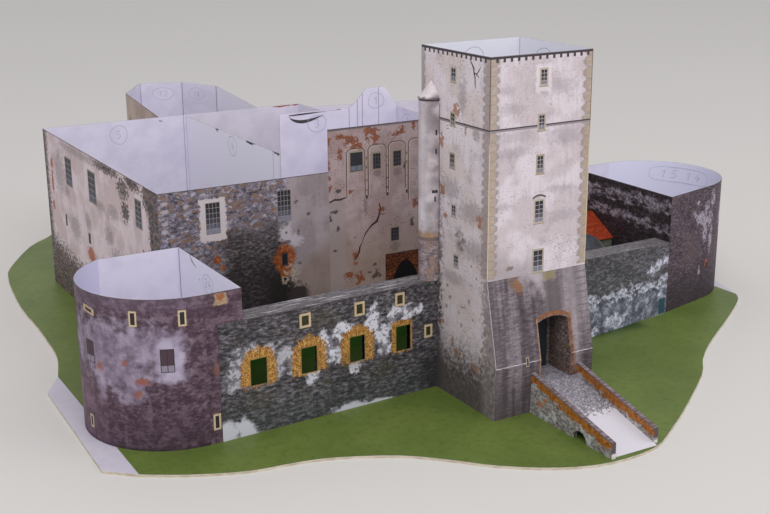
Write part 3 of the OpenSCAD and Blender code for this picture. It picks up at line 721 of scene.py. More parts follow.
def turret_pieces():
    """A round shaft, pale at the top, stained below, with an orange ring over its foot."""
    shaft_low, shaft_high = box_mm("turret_shaft")
    radius = (shaft_high[1] - shaft_low[1]) / 2
    centre = (shaft_low[0] + radius, (shaft_low[1] + shaft_high[1]) / 2)
    face = Round(centre, radius)

    def shaft_picture(art):
        paint = art.paint
        colour = plaster(art, "#c9bec4", "#ddd5dc", "#9b9198", specks=0.35)
        # Painted shade on the shaft's front side.
        near = paint.y.span(centre[1] - radius * 0.1, centre[1] - radius * 0.95)
        shade = paint.noise(art.at, 16, detail=3, shift=3)
        colour = colour.lay("#6f6369", near * shade.span(0.3, 0.6) * 0.75)
        foot = art.below(97, 9, 6)
        stones = rubble(art, "#4c4043", "#85767a", "#b3a5a8", "#966f5a", (4, 2.2), 0.6)
        colour = colour.lay(stones, foot * 0.85)
        ochre = art.spots([(-5.6, 97, 4, 2), (1.5, 98.4, 2, 1.4), (-12, 98, 3, 1.6)], 1.4, 0.8)
        colour = colour.lay("#a8804c", ochre * 0.7)
        line = art.v.span(93.6, 94.2) & art.v.span(96.4, 95.8)
        return colour.lay("#62565c", line * 0.7)

    card_wall("turret_shaft", face, shaft_picture, edge="#7a7076")
    low, high = box_mm("turret_cap")
    paint = Paint("turret_cap_print")
    art = FreePrint(paint, paint.join(paint.y, paint.z))
    colour = plaster(art, "#d2c8cc", "#e2dade", "#a99da3", specks=0.4)
    eaves = (paint.z + art.tear(1.2)).span(low[2] + 1.3, low[2] + 0.5)
    colour = colour.lay("#5f5459", eaves * 0.9)
    # Painted shade on the cap's front side.
    front_painted_shade = paint.y.span(low[1] + 3.4, low[1] + 0.6)
    colour = colour.lay("#5c5156", front_painted_shade * 0.8)
    dress("turret_cap", art, colour)
    return face


turret_face = turret_pieces()


# Curtain walls


WINDOWS = (-121.5, -89.1, -56.7, -24.3)


def curtain_stone(art):
    """Grey rubble of the curtain walls: dark and light lenses with an olive tint."""
    paint = art.paint
    colour = rubble(art, "#232125", "#4b474c", "#8b878f", size=(5.2, 2.1))
    olive = paint.noise(art.at, 5, detail=4, rough=0.65, stretch=(1.6, 1), shift=9.1)
    colour = colour.lay("#5c5436", olive.span(0.56, 0.7) * 0.45)
    dark = paint.noise(art.at, 20, detail=4, rough=0.6, shift=6)
    return colour.lay("#2c292d", dark.span(0.48, 0.72) * 0.6)


def left_curtain_picture(art):
    """Rubble with white clouds between the windows and a ring of orange brick on each."""
    paint = art.paint
    colour = curtain_stone(art)
    colour = colour.lay("#3f4a4a", art.below(16, 16, 10) * 0.3)
    clouds = [(-133, 42, 7, 8), (-129, 50, 6, 4), (-137, 34, 4, 6), (-115, 46, 6, 5), (-108, 41, 6, 8),
              (-101, 38, 4, 7), (-77, 45, 6, 7), (-72, 36, 6, 6), (-67, 50, 7, 5), (-86, 26, 5, 4),
              (-45, 52, 6, 8), (-41, 42, 6, 9), (-37, 33, 4, 4), (-22, 53, 9, 4), (-32, 50, 4, 6),
              (-58, 25, 4, 4), (-14, 53, 3, 3)]
    white = art.spots(clouds, 1, 0.6, by=art.puff) * art.ragged.span(0, 0.42)
    tone = paint.mix("#8f8d99", "#ecebf8", art.puff.span(0.3, 0.62))
    colour = colour.lay(tone, white * (0.46 + 0.34 * art.u.span(-112, -72)))
    foot = [(-141, 4, 8, 7), (-131, 3, 6, 7), (-62, 0, 12, 3.6), (-44, 0, 10, 1.6)]
    colour = colour.lay("#c9c9d6", art.spots(foot, 0.8, 0.7, by=art.puff))
    for number, middle in enumerate(WINDOWS):
        colour = brick_ring(art, colour, middle, number == len(WINDOWS) - 1)
    # Painted shade in the corner where the curtain meets the keep, darker lower down.
    keep_corner_painted_shade = art.u.span(-14, -1) & art.v.span(46, 12)
    colour = colour.lay("#252129", keep_corner_painted_shade * 0.55)
    mossy = [(-80, 60, 10, 6), (-62, 30, 8, 5), (-122, 20, 9, 6), (-38, 20, 9, 6)]
    return colour.lay("#4a4630", art.spots(mossy, 1, 1) * 0.35)


def brick_ring(art, colour, middle, last):
    """Mottled orange brick round one cut window: a band whose outer edge is torn, round
    over the top and upright at the sides; the last window has it above and left only."""
    paint = art.paint
    sill, top, half = 29, 44.5, 5.1
    across = art.u - middle
    reach = 6.2
    if last:
        distance = across.span(5.5, 7) * 9 + (abs(across) - half | art.v - top) * 1.7
    else:
        rise = (art.v - 40) | 0
        flat = paint.join(across, rise)
        distance = paint.vector("LENGTH", flat, out=1) - half
    band = (distance + art.tear(4)).span(reach + 0.7, reach - 0.7)
    band = band & (art.v + art.tear(4)).span(sill - 1.5, sill + 0.5)
    brick = art.mottle(0.55, (0.2, "#6e4a22"), (0.5, "#a87432"), (0.75, "#c1904a"), (0.95, "#dcc796")
    )
    turn = across.turn(art.v - 30)
    joint = turn.wave(0.09)
    brick = brick.lay("#e0cf9c", joint.span(0.022, 0) * art.grain * 0.8)
    colour = colour.lay(brick, band)
    edge = art.panel(middle - half - 0.7, middle + half + 0.7, sill - 0.3, top + 0.7, 0.3, 0.4)
    return colour.lay("#8d7440", edge * 0.7)


def walk_picture(name):
    """The curtain's top: grey stone with long pale streaks along it."""
    paint = Paint(name + "_print")
    art = FreePrint(paint, paint.join(paint.x, paint.y * 2))
    colour = rubble(art, "#3c393e", "#686468", "#9a969a", size=(4.2, 2.4))
    streak = paint.noise(art.at, 4, detail=5, rough=0.66, stretch=(5, 1), shift=1)
    pale = streak.span(0.52, 0.66)
    if name.startswith("right"):
        pale = pale * 0.3
    dress(name, art, colour.lay("#cfccd4", pale * 0.85))


def right_curtain_picture(art):
    """Dark streaky stone; a torn bluish white band half way up, mottled below it."""
    paint = art.paint
    colour = rubble(art, "#333238", "#525056", "#7e7c84", size=(4.4, 1.8))
    rise = art.v + (art.u - 143) * 0.04
    torn = art.sway(11) + art.tear(4)
    level = art.puff * 0.55 + art.ragged * 0.25 + art.grain * 0.2
    mottled = paint.ramp(level, (0.2, "#45464f"), (0.5, "#6c7080"), (0.66, "#9c9fb2"), (0.9, "#cdcfe2"))
    colour = colour.lay(mottled, (rise + torn).span(28, 22) * 0.9)
    band = abs(rise - 26 + torn).span(5, 1) & art.ragged.span(0, 0.9)
    colour = colour.lay("#dcddf2", band * 0.95)
    blobs = [(206, 38, 6, 4), (198, 35, 5, 3), (212, 40, 4, 4), (132, 3, 12, 4), (160, 7, 10, 4),
             (110, 10, 9, 5)]
    white = art.spots(blobs, 1.1, 0.9, by=art.puff) & art.ragged.span(0, 0.8)
    colour = colour.lay("#e0e1f4", white * 0.9)
    door = art.panel(207.4, 214.4, 0.4, 12, 0.1, 0.3)
    return colour.lay("#2c4d5a", door)


# Painted shade: the insides of the hollow left curtain's two sheets are coloured near black, as shade falls
# between them.
PAINTED_SHADE_BACK = "#26241f"
left_curtain_face = wall("left_curtain_front", (0.05, -1, 0), left_curtain_picture, back=PAINTED_SHADE_BACK)
wall("left_curtain_back", (-0.05, 1, 0), curtain_stone, back=PAINTED_SHADE_BACK)
wall("right_curtain_front", (0.16, -1, 0), right_curtain_picture)
wall("right_curtain_back", (-0.16, 1, 0), curtain_stone)
walk_picture("left_curtain_walk")
walk_picture("right_curtain_walk")


# Bastion and rear tower


bastion_low = box_mm("bastion_round_wall")[0]
BASTION_R = 51
bastion_centre = (bastion_low[0] + BASTION_R, bastion_low[1] + BASTION_R)
bastion_round = Round(bastion_centre, BASTION_R)
tower_high = box_mm("rear_tower_round_wall")[1]
TOWER_R = 51
tower_centre = (tower_high[0] - TOWER_R, tower_high[1] - TOWER_R)
tower_round = Round(tower_centre, TOWER_R)

BASTION_TONES = ("#2f1f2a", "#543f4c", "#7b6676")


def bastion_stone(art):
    """Soft purple-brown courses."""
    colour = rubble(art, *BASTION_TONES, size=(4.6, 2.3))
    colour = colour.lay(BASTION_TONES[1], 0.2)
    colour = colour.lay("#3a2935", art.puff.span(0.5, 0.25) * 0.4)
    return colour.lay("#85707f", art.puff.span(0.5, 0.8) * 0.35)


def bastion_picture(art):
    """Purple-brown courses; a soft lilac field round the windows with reddish spots."""
    paint = art.paint
    colour = bastion_stone(art)
    left = art.u.span(-46, -80) & art.v.span(56, 20)
    colour = colour.lay("#84697a", left * (0.2 + 0.6 * art.puff))
    field = [(-74, 57, 14, 15), (-56, 60, 20, 14), (-34, 60, 20, 13), (-19, 57, 10, 13),
             (-48, 45, 20, 12), (-40, 34, 8, 6)]
    pale = art.spots(field, 0.8, 1, by=art.puff)
    level = art.puff * 0.5 + art.ragged * 0.2 + art.cloud * 0.3
    tint = paint.ramp(level, (0.15, "#6c5c6e"), (0.5, "#8b7e92"), (0.85, "#aba1b6"))
    colour = colour.lay(tint, pale * 0.85)
    colour = colour.lay("#84758b", art.v.span(76, 84) * 0.2)
    near_window = art.panel(-25, -10.6, 40.6, 65.2, 3.2, 4)
    colour = colour.lay("#a89db6", near_window * 0.5)
    glow = art.spots([(-16, 44, 7, 4), (-13, 51, 3, 8), (-20, 62, 5, 3)], 0.6, 1.3, by=art.puff)
    colour = colour.lay("#c6bed4", glow * 0.45)
    rust = [(-33.4, 40.7, 4, 1.8), (-43, 51, 1.5, 1.6), (-60.6, 46, 2.4, 2.6), (-36, 33, 2.2, 2)]
    colour = colour.lay("#92543d", art.spots(rust, 1.6, 0.8) * 0.8)
    colour = colour.lay("#3a2a38", art.below(18, 12, 10) * 0.35)
    return colour.lay("#2a2028", art.below(1.4, 0.5, 0.8) * 0.6)


def bastion_flat_picture(art):
    """The bastion's courses under a faint violet cloud."""
    colour = bastion_stone(art)
    return colour.lay("#8a7887", art.cloud.span(0.6, 1) * 0.25)


def bastion_flank_picture(art):
    """The bastion's courses with a torn cream patch at the top and a rust spot."""
    colour = bastion_flat_picture(art)
    colour = colour.lay("#b8a283", art.panel(-146.4, -139.2, 80.4, 86.8, 2.6, 1.8) * 0.8)
    colour = colour.lay("#96522c", art.panel(-145, -140.8, 82.2, 86, 2.6, 1.4) * 0.85)
    return colour.lay("#8a5a48", art.spots([(-146.5, 43, 2.4, 3)], 1.2, 0.8) * 0.6)


def tower_stone(art):
    """Brown-purple courses with small pale flecks, darker at the foot."""
    paint = art.paint
    colour = rubble(art, "#2a2027", "#4f404a", "#766876", size=(3.6, 1.7))
    fleck = paint.noise(art.at, 1.6, detail=4, rough=0.68, shift=1.9)
    colour = colour.lay("#9d93a5", fleck.span(0.56, 0.7) * art.v.span(20, 50) * 0.5)
    colour = colour.lay("#5d4a48", art.cloud.span(0.5, 1) * 0.35)
    return colour.lay("#302a31", art.below(22, 16, 14) * 0.6)


def pale_blotches(art, colour, places):
    """Torn whitish blotches over a rubble print."""
    torn = art.spots(places, 1.3, 0.9) * (0.35 + 0.65 * art.ragged.span(0.3, 0.6))
    return colour.lay("#b3abbd", torn * 0.75)


def tower_flank_picture(art):
    """The tower's courses, blotched near the round wall."""
    places = [(254, 63.5, 5.5, 3.6), (247, 66.5, 3, 2.4), (260, 60, 4, 6), (262, 71, 3, 3), (261, 50, 2, 6),
              (256, 22, 1, 3.2), (250, 75, 2, 1.6)]
    return pale_blotches(art, tower_stone(art), places)


def tower_picture(art):
    """The tower's courses with torn whitish blotches and a brown spot."""
    places = [(14, 60, 3, 6), (17, 76, 2.4, 5), (16, 46, 2.2, 9), (40, 60, 8, 10), (70, 50, 10, 6),
              (100, 62, 9, 9), (130, 48, 8, 10)]
    colour = pale_blotches(art, tower_stone(art), places)
    return colour.lay("#6b4a3c", art.spots([(13, 27, 3, 3)], 1.4, 0.8) * 0.7)


def tower_flat_picture(art):
    """Blackish wall with two rows of torn pale bands, the upper one falling to the rear."""
    paint = art.paint
    colour = rubble(art, "#181317", "#30282d", "#554950", size=(3.8, 2))
    torn = paint.noise(art.at, 5, detail=5, rough=0.68, stretch=(2.2, 1), shift=3.3)
    broken = torn.span(0.4, 0.54)
    slope = (art.u - 130) * 0.03
    upper = (abs(art.v + slope - 76) + art.sway(5)).span(6, 3)
    lower = (abs(art.v - slope - 61.5) + art.sway(5)).span(4.6, 2.2)
    tint = paint.ramp(art.ragged, (0.2, "#5e535c"), (0.8, "#b3a9b8"))
    return colour.lay(tint, (upper | lower) & broken * 0.9)


# Inside colours: the round bastion wall gets darker card, painted shade; the flat bastion wall and the round
# tower wall get lighter card, painted light.
card_wall("bastion_round_wall", bastion_round, bastion_picture, back="#d9d5f0")
bastion_flank_face = wall("bastion_front_flank", (0.05, -1, 0), bastion_flank_picture)
wall("bastion_flat_wall", RIGHT, bastion_flat_picture, folds=(138.8,), back=CARD_PAINTED_LIGHT)
wall("bastion_rear_wall", REAR, bastion_flat_picture)
card_wall("rear_tower_round_wall", tower_round, tower_picture, back="#e6e6fb")
wall("rear_tower_flat_wall", LEFT, tower_flat_picture)
wall("rear_tower_front_flank", (0.2, -1, 0), tower_flank_picture)
wall("rear_tower_rear_flank", REAR, tower_stone)


# Palace, hall, chapel and east range

PALACE_BASE, PALACE_PALE, PALACE_GREY = "#c8b5b8", "#dccdd3", "#8f838c"
DARK_STONE, MID_STONE, LIGHT_STONE = "#2f292c", "#5b5357", "#94898a"
WARM_STONE = "#845f42"
FOOT_GREEN = "#345c1e"


def palace_left_picture(art):
    """The palace's outer long side: plaster with rubble at its corners, high patches and foot."""
    colour = plaster(art, PALACE_BASE, PALACE_PALE, PALACE_GREY, specks=0.4)
    stone = rubble(art, DARK_STONE, MID_STONE, LIGHT_STONE, WARM_STONE, size=(4.4, 2.2))
    corner_right = art.left_of(158, 9)
    high_dark = [(240, 119, 26, 3.2), (205, 112, 10, 7), (202, 97, 7, 6), (186, 119, 14, 4), (160, 116, 8, 8)]
    mask = corner_right | art.spots(high_dark, 1.5, 0.35)
    foot = (art.v - (art.u - 250) * 0.1 + art.tear(22)).span(30, 22)
    far = (art.u + art.tear(10)).span(378, 386)
    colour = colour.lay(stone, mask | foot | far)
    greys = [(256, 90, 9, 3), (228, 91, 10, 5), (287, 72, 6, 6), (240, 72, 9, 6), (320, 60, 12, 8),
             (352, 96, 12, 16), (335, 84, 6, 4), (225, 60, 14, 6), (300, 118, 40, 3)]
    colour = colour.lay("#857a7d", art.spots(greys, 1.2, 0.9) * 0.6)
    bricks = [(285, 48, 8, 5.6), (373, 84, 3, 9), (375, 66, 3, 4), (372, 99, 3, 4)]
    return colour.lay("#a5583a", art.spots(bricks, 0.8, 0.3) * 0.9)


def palace_front_picture(art):
    """Rubble with warm stones, dark below, and old render from the second window on."""
    paint = art.paint
    stone = rubble(art, "#413a44", "#827c8a", "#bab4c2", "#8a6a52", (4.2, 2.6), 0.54)
    lower = rubble(art, "#231f22", "#4b4447", "#82797c", size=(4, 2.1))
    split = art.v + art.sway(10)
    along = art.u + art.sway(10)
    colour = paint.mix(stone, lower, split.span(102, 84) & along.span(-114, -96))
    deep = split.span(84, 58) & along.span(-107, -92)
    colour = colour.lay("#221d1e", deep * 0.65)
    render = plaster(art, "#988c91", "#a99da2", "#7b7178", specks=0.5)
    render = render.lay("#877263", (art.v - (art.u + 58) * 0.6).span(66, 50) * 0.6)
    right = (art.u + art.tear(5)).span(-58.4, -56.4)
    edge = right | art.spots([(-57, 84, 5, 7), (-54, 62, 5, 8), (-53.5, 54, 4, 6)], 1, 0.4)
    colour = colour.lay(render, edge)
    light = art.spots([(-57.5, 85, 4.4, 6.4), (-52, 80, 5, 4)], 0.9, 0.8)
    colour = colour.lay("#c6bec8", light * 0.8)
    marks = [(-58.4, 79.8, 3, 1.2), (-49.4, 85.7, 1, 2.2), (-50.1, 105.3, 1.4, 1),
             (-41.9, 96.5, 1.2, 1.2), (-57.8, 86.4, 0.8, 1.2), (-59.4, 111.5, 0.7, 1),
             (-52.9, 71.6, 1.6, 0.8), (-48.9, 64.7, 1.6, 0.7)]
    colour = colour.lay("#4a4046", art.spots(marks, 1.4, 0.5) * 0.8)
    black_foot = (art.v + art.tear(8) + (art.u + 52) * 0.5).span(54, 49)
    black_foot = black_foot & art.u.span(-40, -46) & art.u.span(-80, -66)
    colour = colour.lay("#231e1f", black_foot * 0.9)
    colour = colour.lay("#cfc5c9", art.panel(-115.6, -98.4, 87.8, 114.8, 1.8, 0.9))
    corner_stones = [(-138, 115.2, 2.2, 1.3), (-137.8, 110.5, 2.6, 1.2), (-138.2, 102.6, 2.4, 1.4),
                     (-138.4, 97.9, 2.2, 1.2), (-124, 112, 2, 1.4)]
    colour = colour.lay("#bdb5b8", art.spots(corner_stones, 0.8, 0.6) * 0.7)
    rust = art.mottle(0.5, (0.2, "#6d3312"), (0.55, "#9c4e1c"), (0.9, "#c07a3c"))
    patches = [(-59.2, 69.6, 7.6, 9.4), (-59, 61, 4.4, 4), (-105.6, 75.5, 3, 2.6), (-102, 70, 1.6, 2)]
    colour = colour.lay(rust, art.spots(patches, 0.45, 0.35) * 0.9)
    near = art.spots([(-55, 60, 5, 6), (-56, 55, 5, 3)], 1, 0.6)
    colour = colour.lay("#b9aa97", near & art.ragged.span(0.5, 0.7) * 0.75)
    return colour.lay(FOOT_GREEN, art.below(8.5, 1.5, 0.8))


def hall_picture(art):
    """Pinkish render, orange where it fell off high up, dirty spots and a brick doorway."""
    paint = art.paint
    colour = plaster(art, "#a58f8e", "#b5a2a4", "#857678", "#453230", 1)
    lower = art.v.span(92, 60)
    colour = colour.lay("#9b8675", lower * 0.55)
    left_render = art.u.span(-14, -18) & art.v.span(104, 101)
    colour = colour.lay("#9f9496", left_render * 0.6)
    rust = art.mottle(0.5, (0.2, "#54230a"), (0.55, "#84410f"), (0.9, "#a05a20"))
    pieces = [(-17, 143.5, 3.4, 1.8), (-10.4, 140.4, 4.6, 2.8), (-6, 136.9, 4, 2.2), (5.1, 145.6, 4.4, 2.4),
              (7.6, 140.6, 2, 4), (1.1, 142, 1.6, 2.8), (24.2, 141.3, 4, 2), (27.8, 143.6, 2.2, 3),
              (37, 145.6, 1.4, 2.4), (-18.1, 132, 1.6, 4), (-26.4, 142, 1.2, 2.4), (-26.6, 125.3, 1.2, 3),
              (-26.6, 110, 1.6, 3.4), (-26.6, 117.3, 1, 2), (-10.8, 107.8, 2, 1.6), (38, 93.8, 1.8, 2.6),
              (12, 92, 2.4, 1.6), (-12.7, 50.4, 3.4, 2.6), (-4.7, 47, 3, 3.4), (-8, 62, 1.6, 4)]
    colour = colour.lay(rust, art.spots(pieces, 2, 0.35) * 0.85)
    dirt = [(-20.6, 108.5, 1.8, 1.4), (-23.8, 95.2, 2.4, 1), (-26, 91, 1, 1.8), (-20.6, 83.5, 1.4, 1.4),
            (30, 120, 1, 2), (-22.8, 68.9, 1.4, 0.8), (35.4, 80.7, 1.2, 2.4), (7.6, 47.6, 3.6, 2.4),
            (2.5, 50.4, 1.6, 0.8), (6, 55, 1.4, 1)]
    colour = colour.lay("#3f3635", art.spots(dirt, 1.9, 0.5) * 0.85)
    runs = [(9, 117, 3, 3), (24, 116, 3, 3), (0, 96, 1.4, 6), (22.5, 66, 3.4, 4)]
    colour = colour.lay("#6d6160", art.spots(runs, 0.8, 1) * 0.6)
    brickwork = rubble(art, "#2c160e", "#64341c", "#95593a", size=(3, 1.8))
    frame_mask = art.u.span(15, 15.4) & art.v.span(60.4, 60)
    colour = colour.lay("#3b2a26", art.u.span(14.4, 14.8) & art.v.span(61, 60.6))
    colour = colour.lay(brickwork, frame_mask)
    across = (art.u - 30.1) / 13.6
    rise = (art.v - 36) / 18.9
    bow = (across * across * 1.25 + (rise | 0)).span(1.03, 0.97)
    colour = colour.lay("#0f0c0f", bow)
    return colour.lay(FOOT_GREEN, art.below(8.5, 1.5, 0.8))


def range_picture(tones, stone_height=24):
    """A plain printed range wall: plaster over a rubble foot with torn patches."""
    def picture(art):
        paint = art.paint
        colour = plaster(art, *tones, specks=0.45)
        stone = rubble(art, DARK_STONE, MID_STONE, LIGHT_STONE, WARM_STONE, size=(4.4, 2.2))
        torn = paint.noise(art.at, 26, detail=4, rough=0.6, shift=5)
        foot = (art.v + art.tear(14) - (torn - 0.5) * 40).span(stone_height + 3, stone_height - 3)
        return colour.lay(stone, foot | torn.span(0.66, 0.7))
    return picture


palace_range = range_picture((PALACE_BASE, PALACE_PALE, PALACE_GREY))
chapel_range = range_picture(("#a8948a", "#bba89e", "#85766f"), 12)
court_range = range_picture(("#c3b2ab", "#d2c2bb", "#9c8d8a"), 10)


def top_bleed(*places, depth=4):
    """Ink that ran over the top edge: flat dark crescents (u, length, top) inside."""
    def mask(art):
        result = None
        for u, reach, top in places:
            oval = art.spot(u, top, reach, depth, fuzz=0.9, soft=0.15)
            hollow = art.spot(u, top + 1, reach * 0.8, depth * 0.62, fuzz=1.6, soft=0.15)
            ring = oval & (1 - hollow * 0.6)
            result = ring if result is None else result | ring
        return result
    return mask


apse_face = Folded("chapel_apse", (0.33, 0.94, 0), (-0.85, 0.52, 0), (0.9, 0.43, 0))

palace_left_face = wall("palace_left_wall", LEFT, palace_left_picture)
palace_front_face = wall("palace_front_wall", FRONT, palace_front_picture)
palace_rear_face = wall("palace_rear_wall", REAR, palace_range, folds=(-28.4, -141.3))
court_bleed = top_bleed((323, 3, 121.4), (262, 8, 121.6), (217, 7, 122), depth=2.4)
# The court wall's inside gets lighter card: painted light.
palace_court_face = wall("palace_court_wall", RIGHT, court_range, folds=(388, 223.4), bleed=court_bleed,
                         back=CARD_PAINTED_LIGHT)
range_end_face = wall("rear_range_end_wall", RIGHT, palace_range)
hall_face = wall("hall_facade", FRONT, hall_picture, edge="#3f3843", top_line=2)
hall_side_face = wall("hall_side_wall", RIGHT, court_range)
hall_rear_face = wall("hall_rear_wall", REAR, court_range, folds=(24.6, 31.2, 35.3, 48.3))
chapel_left_face = wall("chapel_left_wall", (-1, 0.1, 0), chapel_range)
card_wall("chapel_apse", apse_face, chapel_range, folds=(-0.6, 35.7, 54.3))
# The chapel's right wall gets lighter card inside: painted light.
chapel_right_face = wall("chapel_right_wall", (1, -0.1, 0), chapel_range, back=CARD_PAINTED_LIGHT)
wall("east_rear_wall", (0.2, 1, 0), court_range)
wall("east_end_wall", (1, 0.05, 0), court_range)


# Court house, ground and board


house_low = box_mm("court_house_walls")[0]
HOUSE_Y = house_low[1] + 13
LOW_RIGHT = house_low[0] + 13.2


def house_and_ground():
    """Grey gables, a roof of orange tiles and plain grey; mottled green; bare pale board."""
    eaves, ridge = HOUSE_Y, box_mm("court_house_roof")[1][2]
    paint = Paint("court_house_print")
    art = FreePrint(paint, paint.join(paint.x + paint.y, paint.z))
    colour = rubble(art, "#2f2e31", "#525156", "#7c7a80", size=(3, 1.5))
    front = paint.y.span(eaves + 1, eaves + 0.6) & paint.x.span(LOW_RIGHT, LOW_RIGHT + 0.2)
    colour = colour.lay(paint.mix("#5a6052", "#7f8474", art.ragged), front)
    dress("court_house_walls", art, colour)

    paint = Paint("tile_print")
    art = FreePrint(paint, paint.join(paint.x, paint.y))
    column = paint.x.wave(0.8)
    course = paint.y.wave(1.1)
    tiles = art.mottle(0.6, (0.15, "#7a2412"), (0.5, "#a33a1c"), (0.9, "#c05a30"))
    tiles = tiles.lay("#661e10", column.span(0.25, 0.05) * 0.5)
    tiles = tiles.lay("#7c2a14", course.span(0.3, 0.05) * 0.6)
    plain = paint.ramp(art.ragged * 0.5 + art.cloud * 0.5, (0.15, "#3e4046"), (0.85, "#60626a"))
    low_part = (paint.x + paint.y).span(349.3, 348.5) & paint.x.span(LOW_RIGHT + 2, LOW_RIGHT + 1.8)
    colour = tiles.lay(plain, low_part)
    rake = abs(paint.x - LOW_RIGHT - 1.4).span(0.5, 0.2) & paint.y.span(eaves - 1.4, eaves - 2)
    colour = colour.lay("#8d8d90", rake * 0.8)
    crest = paint.z.span(ridge - 1, ridge - 0.5)
    colour = colour.lay("#5c2416", crest * 0.7)
    dress("court_house_roof", art, colour)

    paint = Paint("ground_print")
    art = FreePrint(paint, paint.join(paint.x, paint.y))
    soft = paint.noise(art.at, 60, detail=4, rough=0.6)
    colour = paint.mix("#566a2c", "#667837", soft.span(0.35, 0.65))
    tufts = paint.noise(art.at, 5, detail=5, rough=0.7, shift=4)
    colour = colour.lay("#45561f", tufts.span(0.46, 0.7) * 0.6)
    colour = colour.lay("#7d8c4a", art.grain * 0.25)
    # Painted shade: the court's ground between the curtain and the ranges is made darker green.
    court = paint.y.span(62, 78) & paint.y.span(141, 140)
    court = court & paint.x.span(-160, -150) & paint.x.span(190, 180)
    colour = colour.lay("#1f3a0e", court * 0.85)
    sheet_top = box_mm("ground_sheet")[1][2]
    colour = paint.mix("#3c4426", colour, paint.z.span(sheet_top - 0.2, sheet_top - 0.1))
    dress("ground_sheet", art, colour, rough=0.5)

    paint = Paint("board_card")
    art = FreePrint(paint, paint.join(paint.x, paint.y))
    edge = paint.noise(paint.mm, 2, detail=4, stretch=(3, 3)).span(0.35, 0.7)
    colour = paint.mix("#d3cfe0", "#cbc6d8", art.cloud)
    under = paint.z.span(-0.25, -0.5)
    colour = colour.lay(paint.mix("#cfc6b4", "#b3a88f", edge), under)
    dress("base_board", art, colour)


house_and_ground()


# Printed pieces


def sticker(name, *stops, mottle=0.3, size=1.2, rough=0.58):
    """Colour of small printed pieces: each piece's own tone and a fine mottle on a ramp."""
    paint = Paint(name, rough)
    own = paint.node("ShaderNodeAttribute", {"attribute_name": "tone"}, out=2)
    grain = paint.noise(paint.mm, size, detail=3, rough=0.6)
    return paint.finish(paint.ramp(own + (grain - 0.5) * mottle, *stops))


CASING = sticker("casing_tan", (0.1, "#877a70"), (0.5, "#ada08f"), (0.95, "#ddd5c8"))
PANE = sticker("pane_grey", (0, "#211f26"), (0.5, "#4d4c5a"), (1, "#a9a9bd"))
DIM_PANE = sticker("pane_dim", (0, "#2c1f29"), (0.4, "#4e3a46"), (1, "#a7a0b4"), mottle=0.25)
DARK_PANE = sticker("pane_dark", (0, "#1b191d"), (0.5, "#3b3c42"), (1, "#7f8894"), mottle=0.25)
BAR = sticker("glazing_bar", (0, "#3a3638"), (1, "#cfc9c9"), mottle=0.15)
SLIT = sticker("slit_black", (0, "#17141a"), (1, "#4a4247"))
OLIVE_SLIT = sticker("slit_olive", (0, "#1d1a14"), (0.6, "#4b4428"), (1, "#6a6338"), mottle=0.9)
QUOIN = sticker("quoin_ochre", (0, "#6f6258"), (0.5, "#b29a7a"), (1, "#e3d2b2"), mottle=0.6)
RED_BRICK = sticker("brick_red", (0, "#6e3214"), (0.5, "#b25a2a"), (1, "#d98a52"), mottle=0.6)
WARM_BRICK = sticker("brick_warm", (0, "#46301f"), (0.5, "#85573a"), (1, "#b08c6c"), mottle=0.8)
WHITE = sticker("torn_white", (0, "#b9b1b8"), (1, "#f1edf0"), mottle=0.5)
SHADE = sticker("stain_grey", (0, "#5d5459"), (1, "#a39aa0"), mottle=0.6)
BROWN_LINE = sticker("line_brown", (0, "#2c1f1b"), (1, "#6d5448"), mottle=0.5)
LEAD = sticker("pencil_grey", (0, "#77748a"), (1, "#b4b2c6"), mottle=0.4)


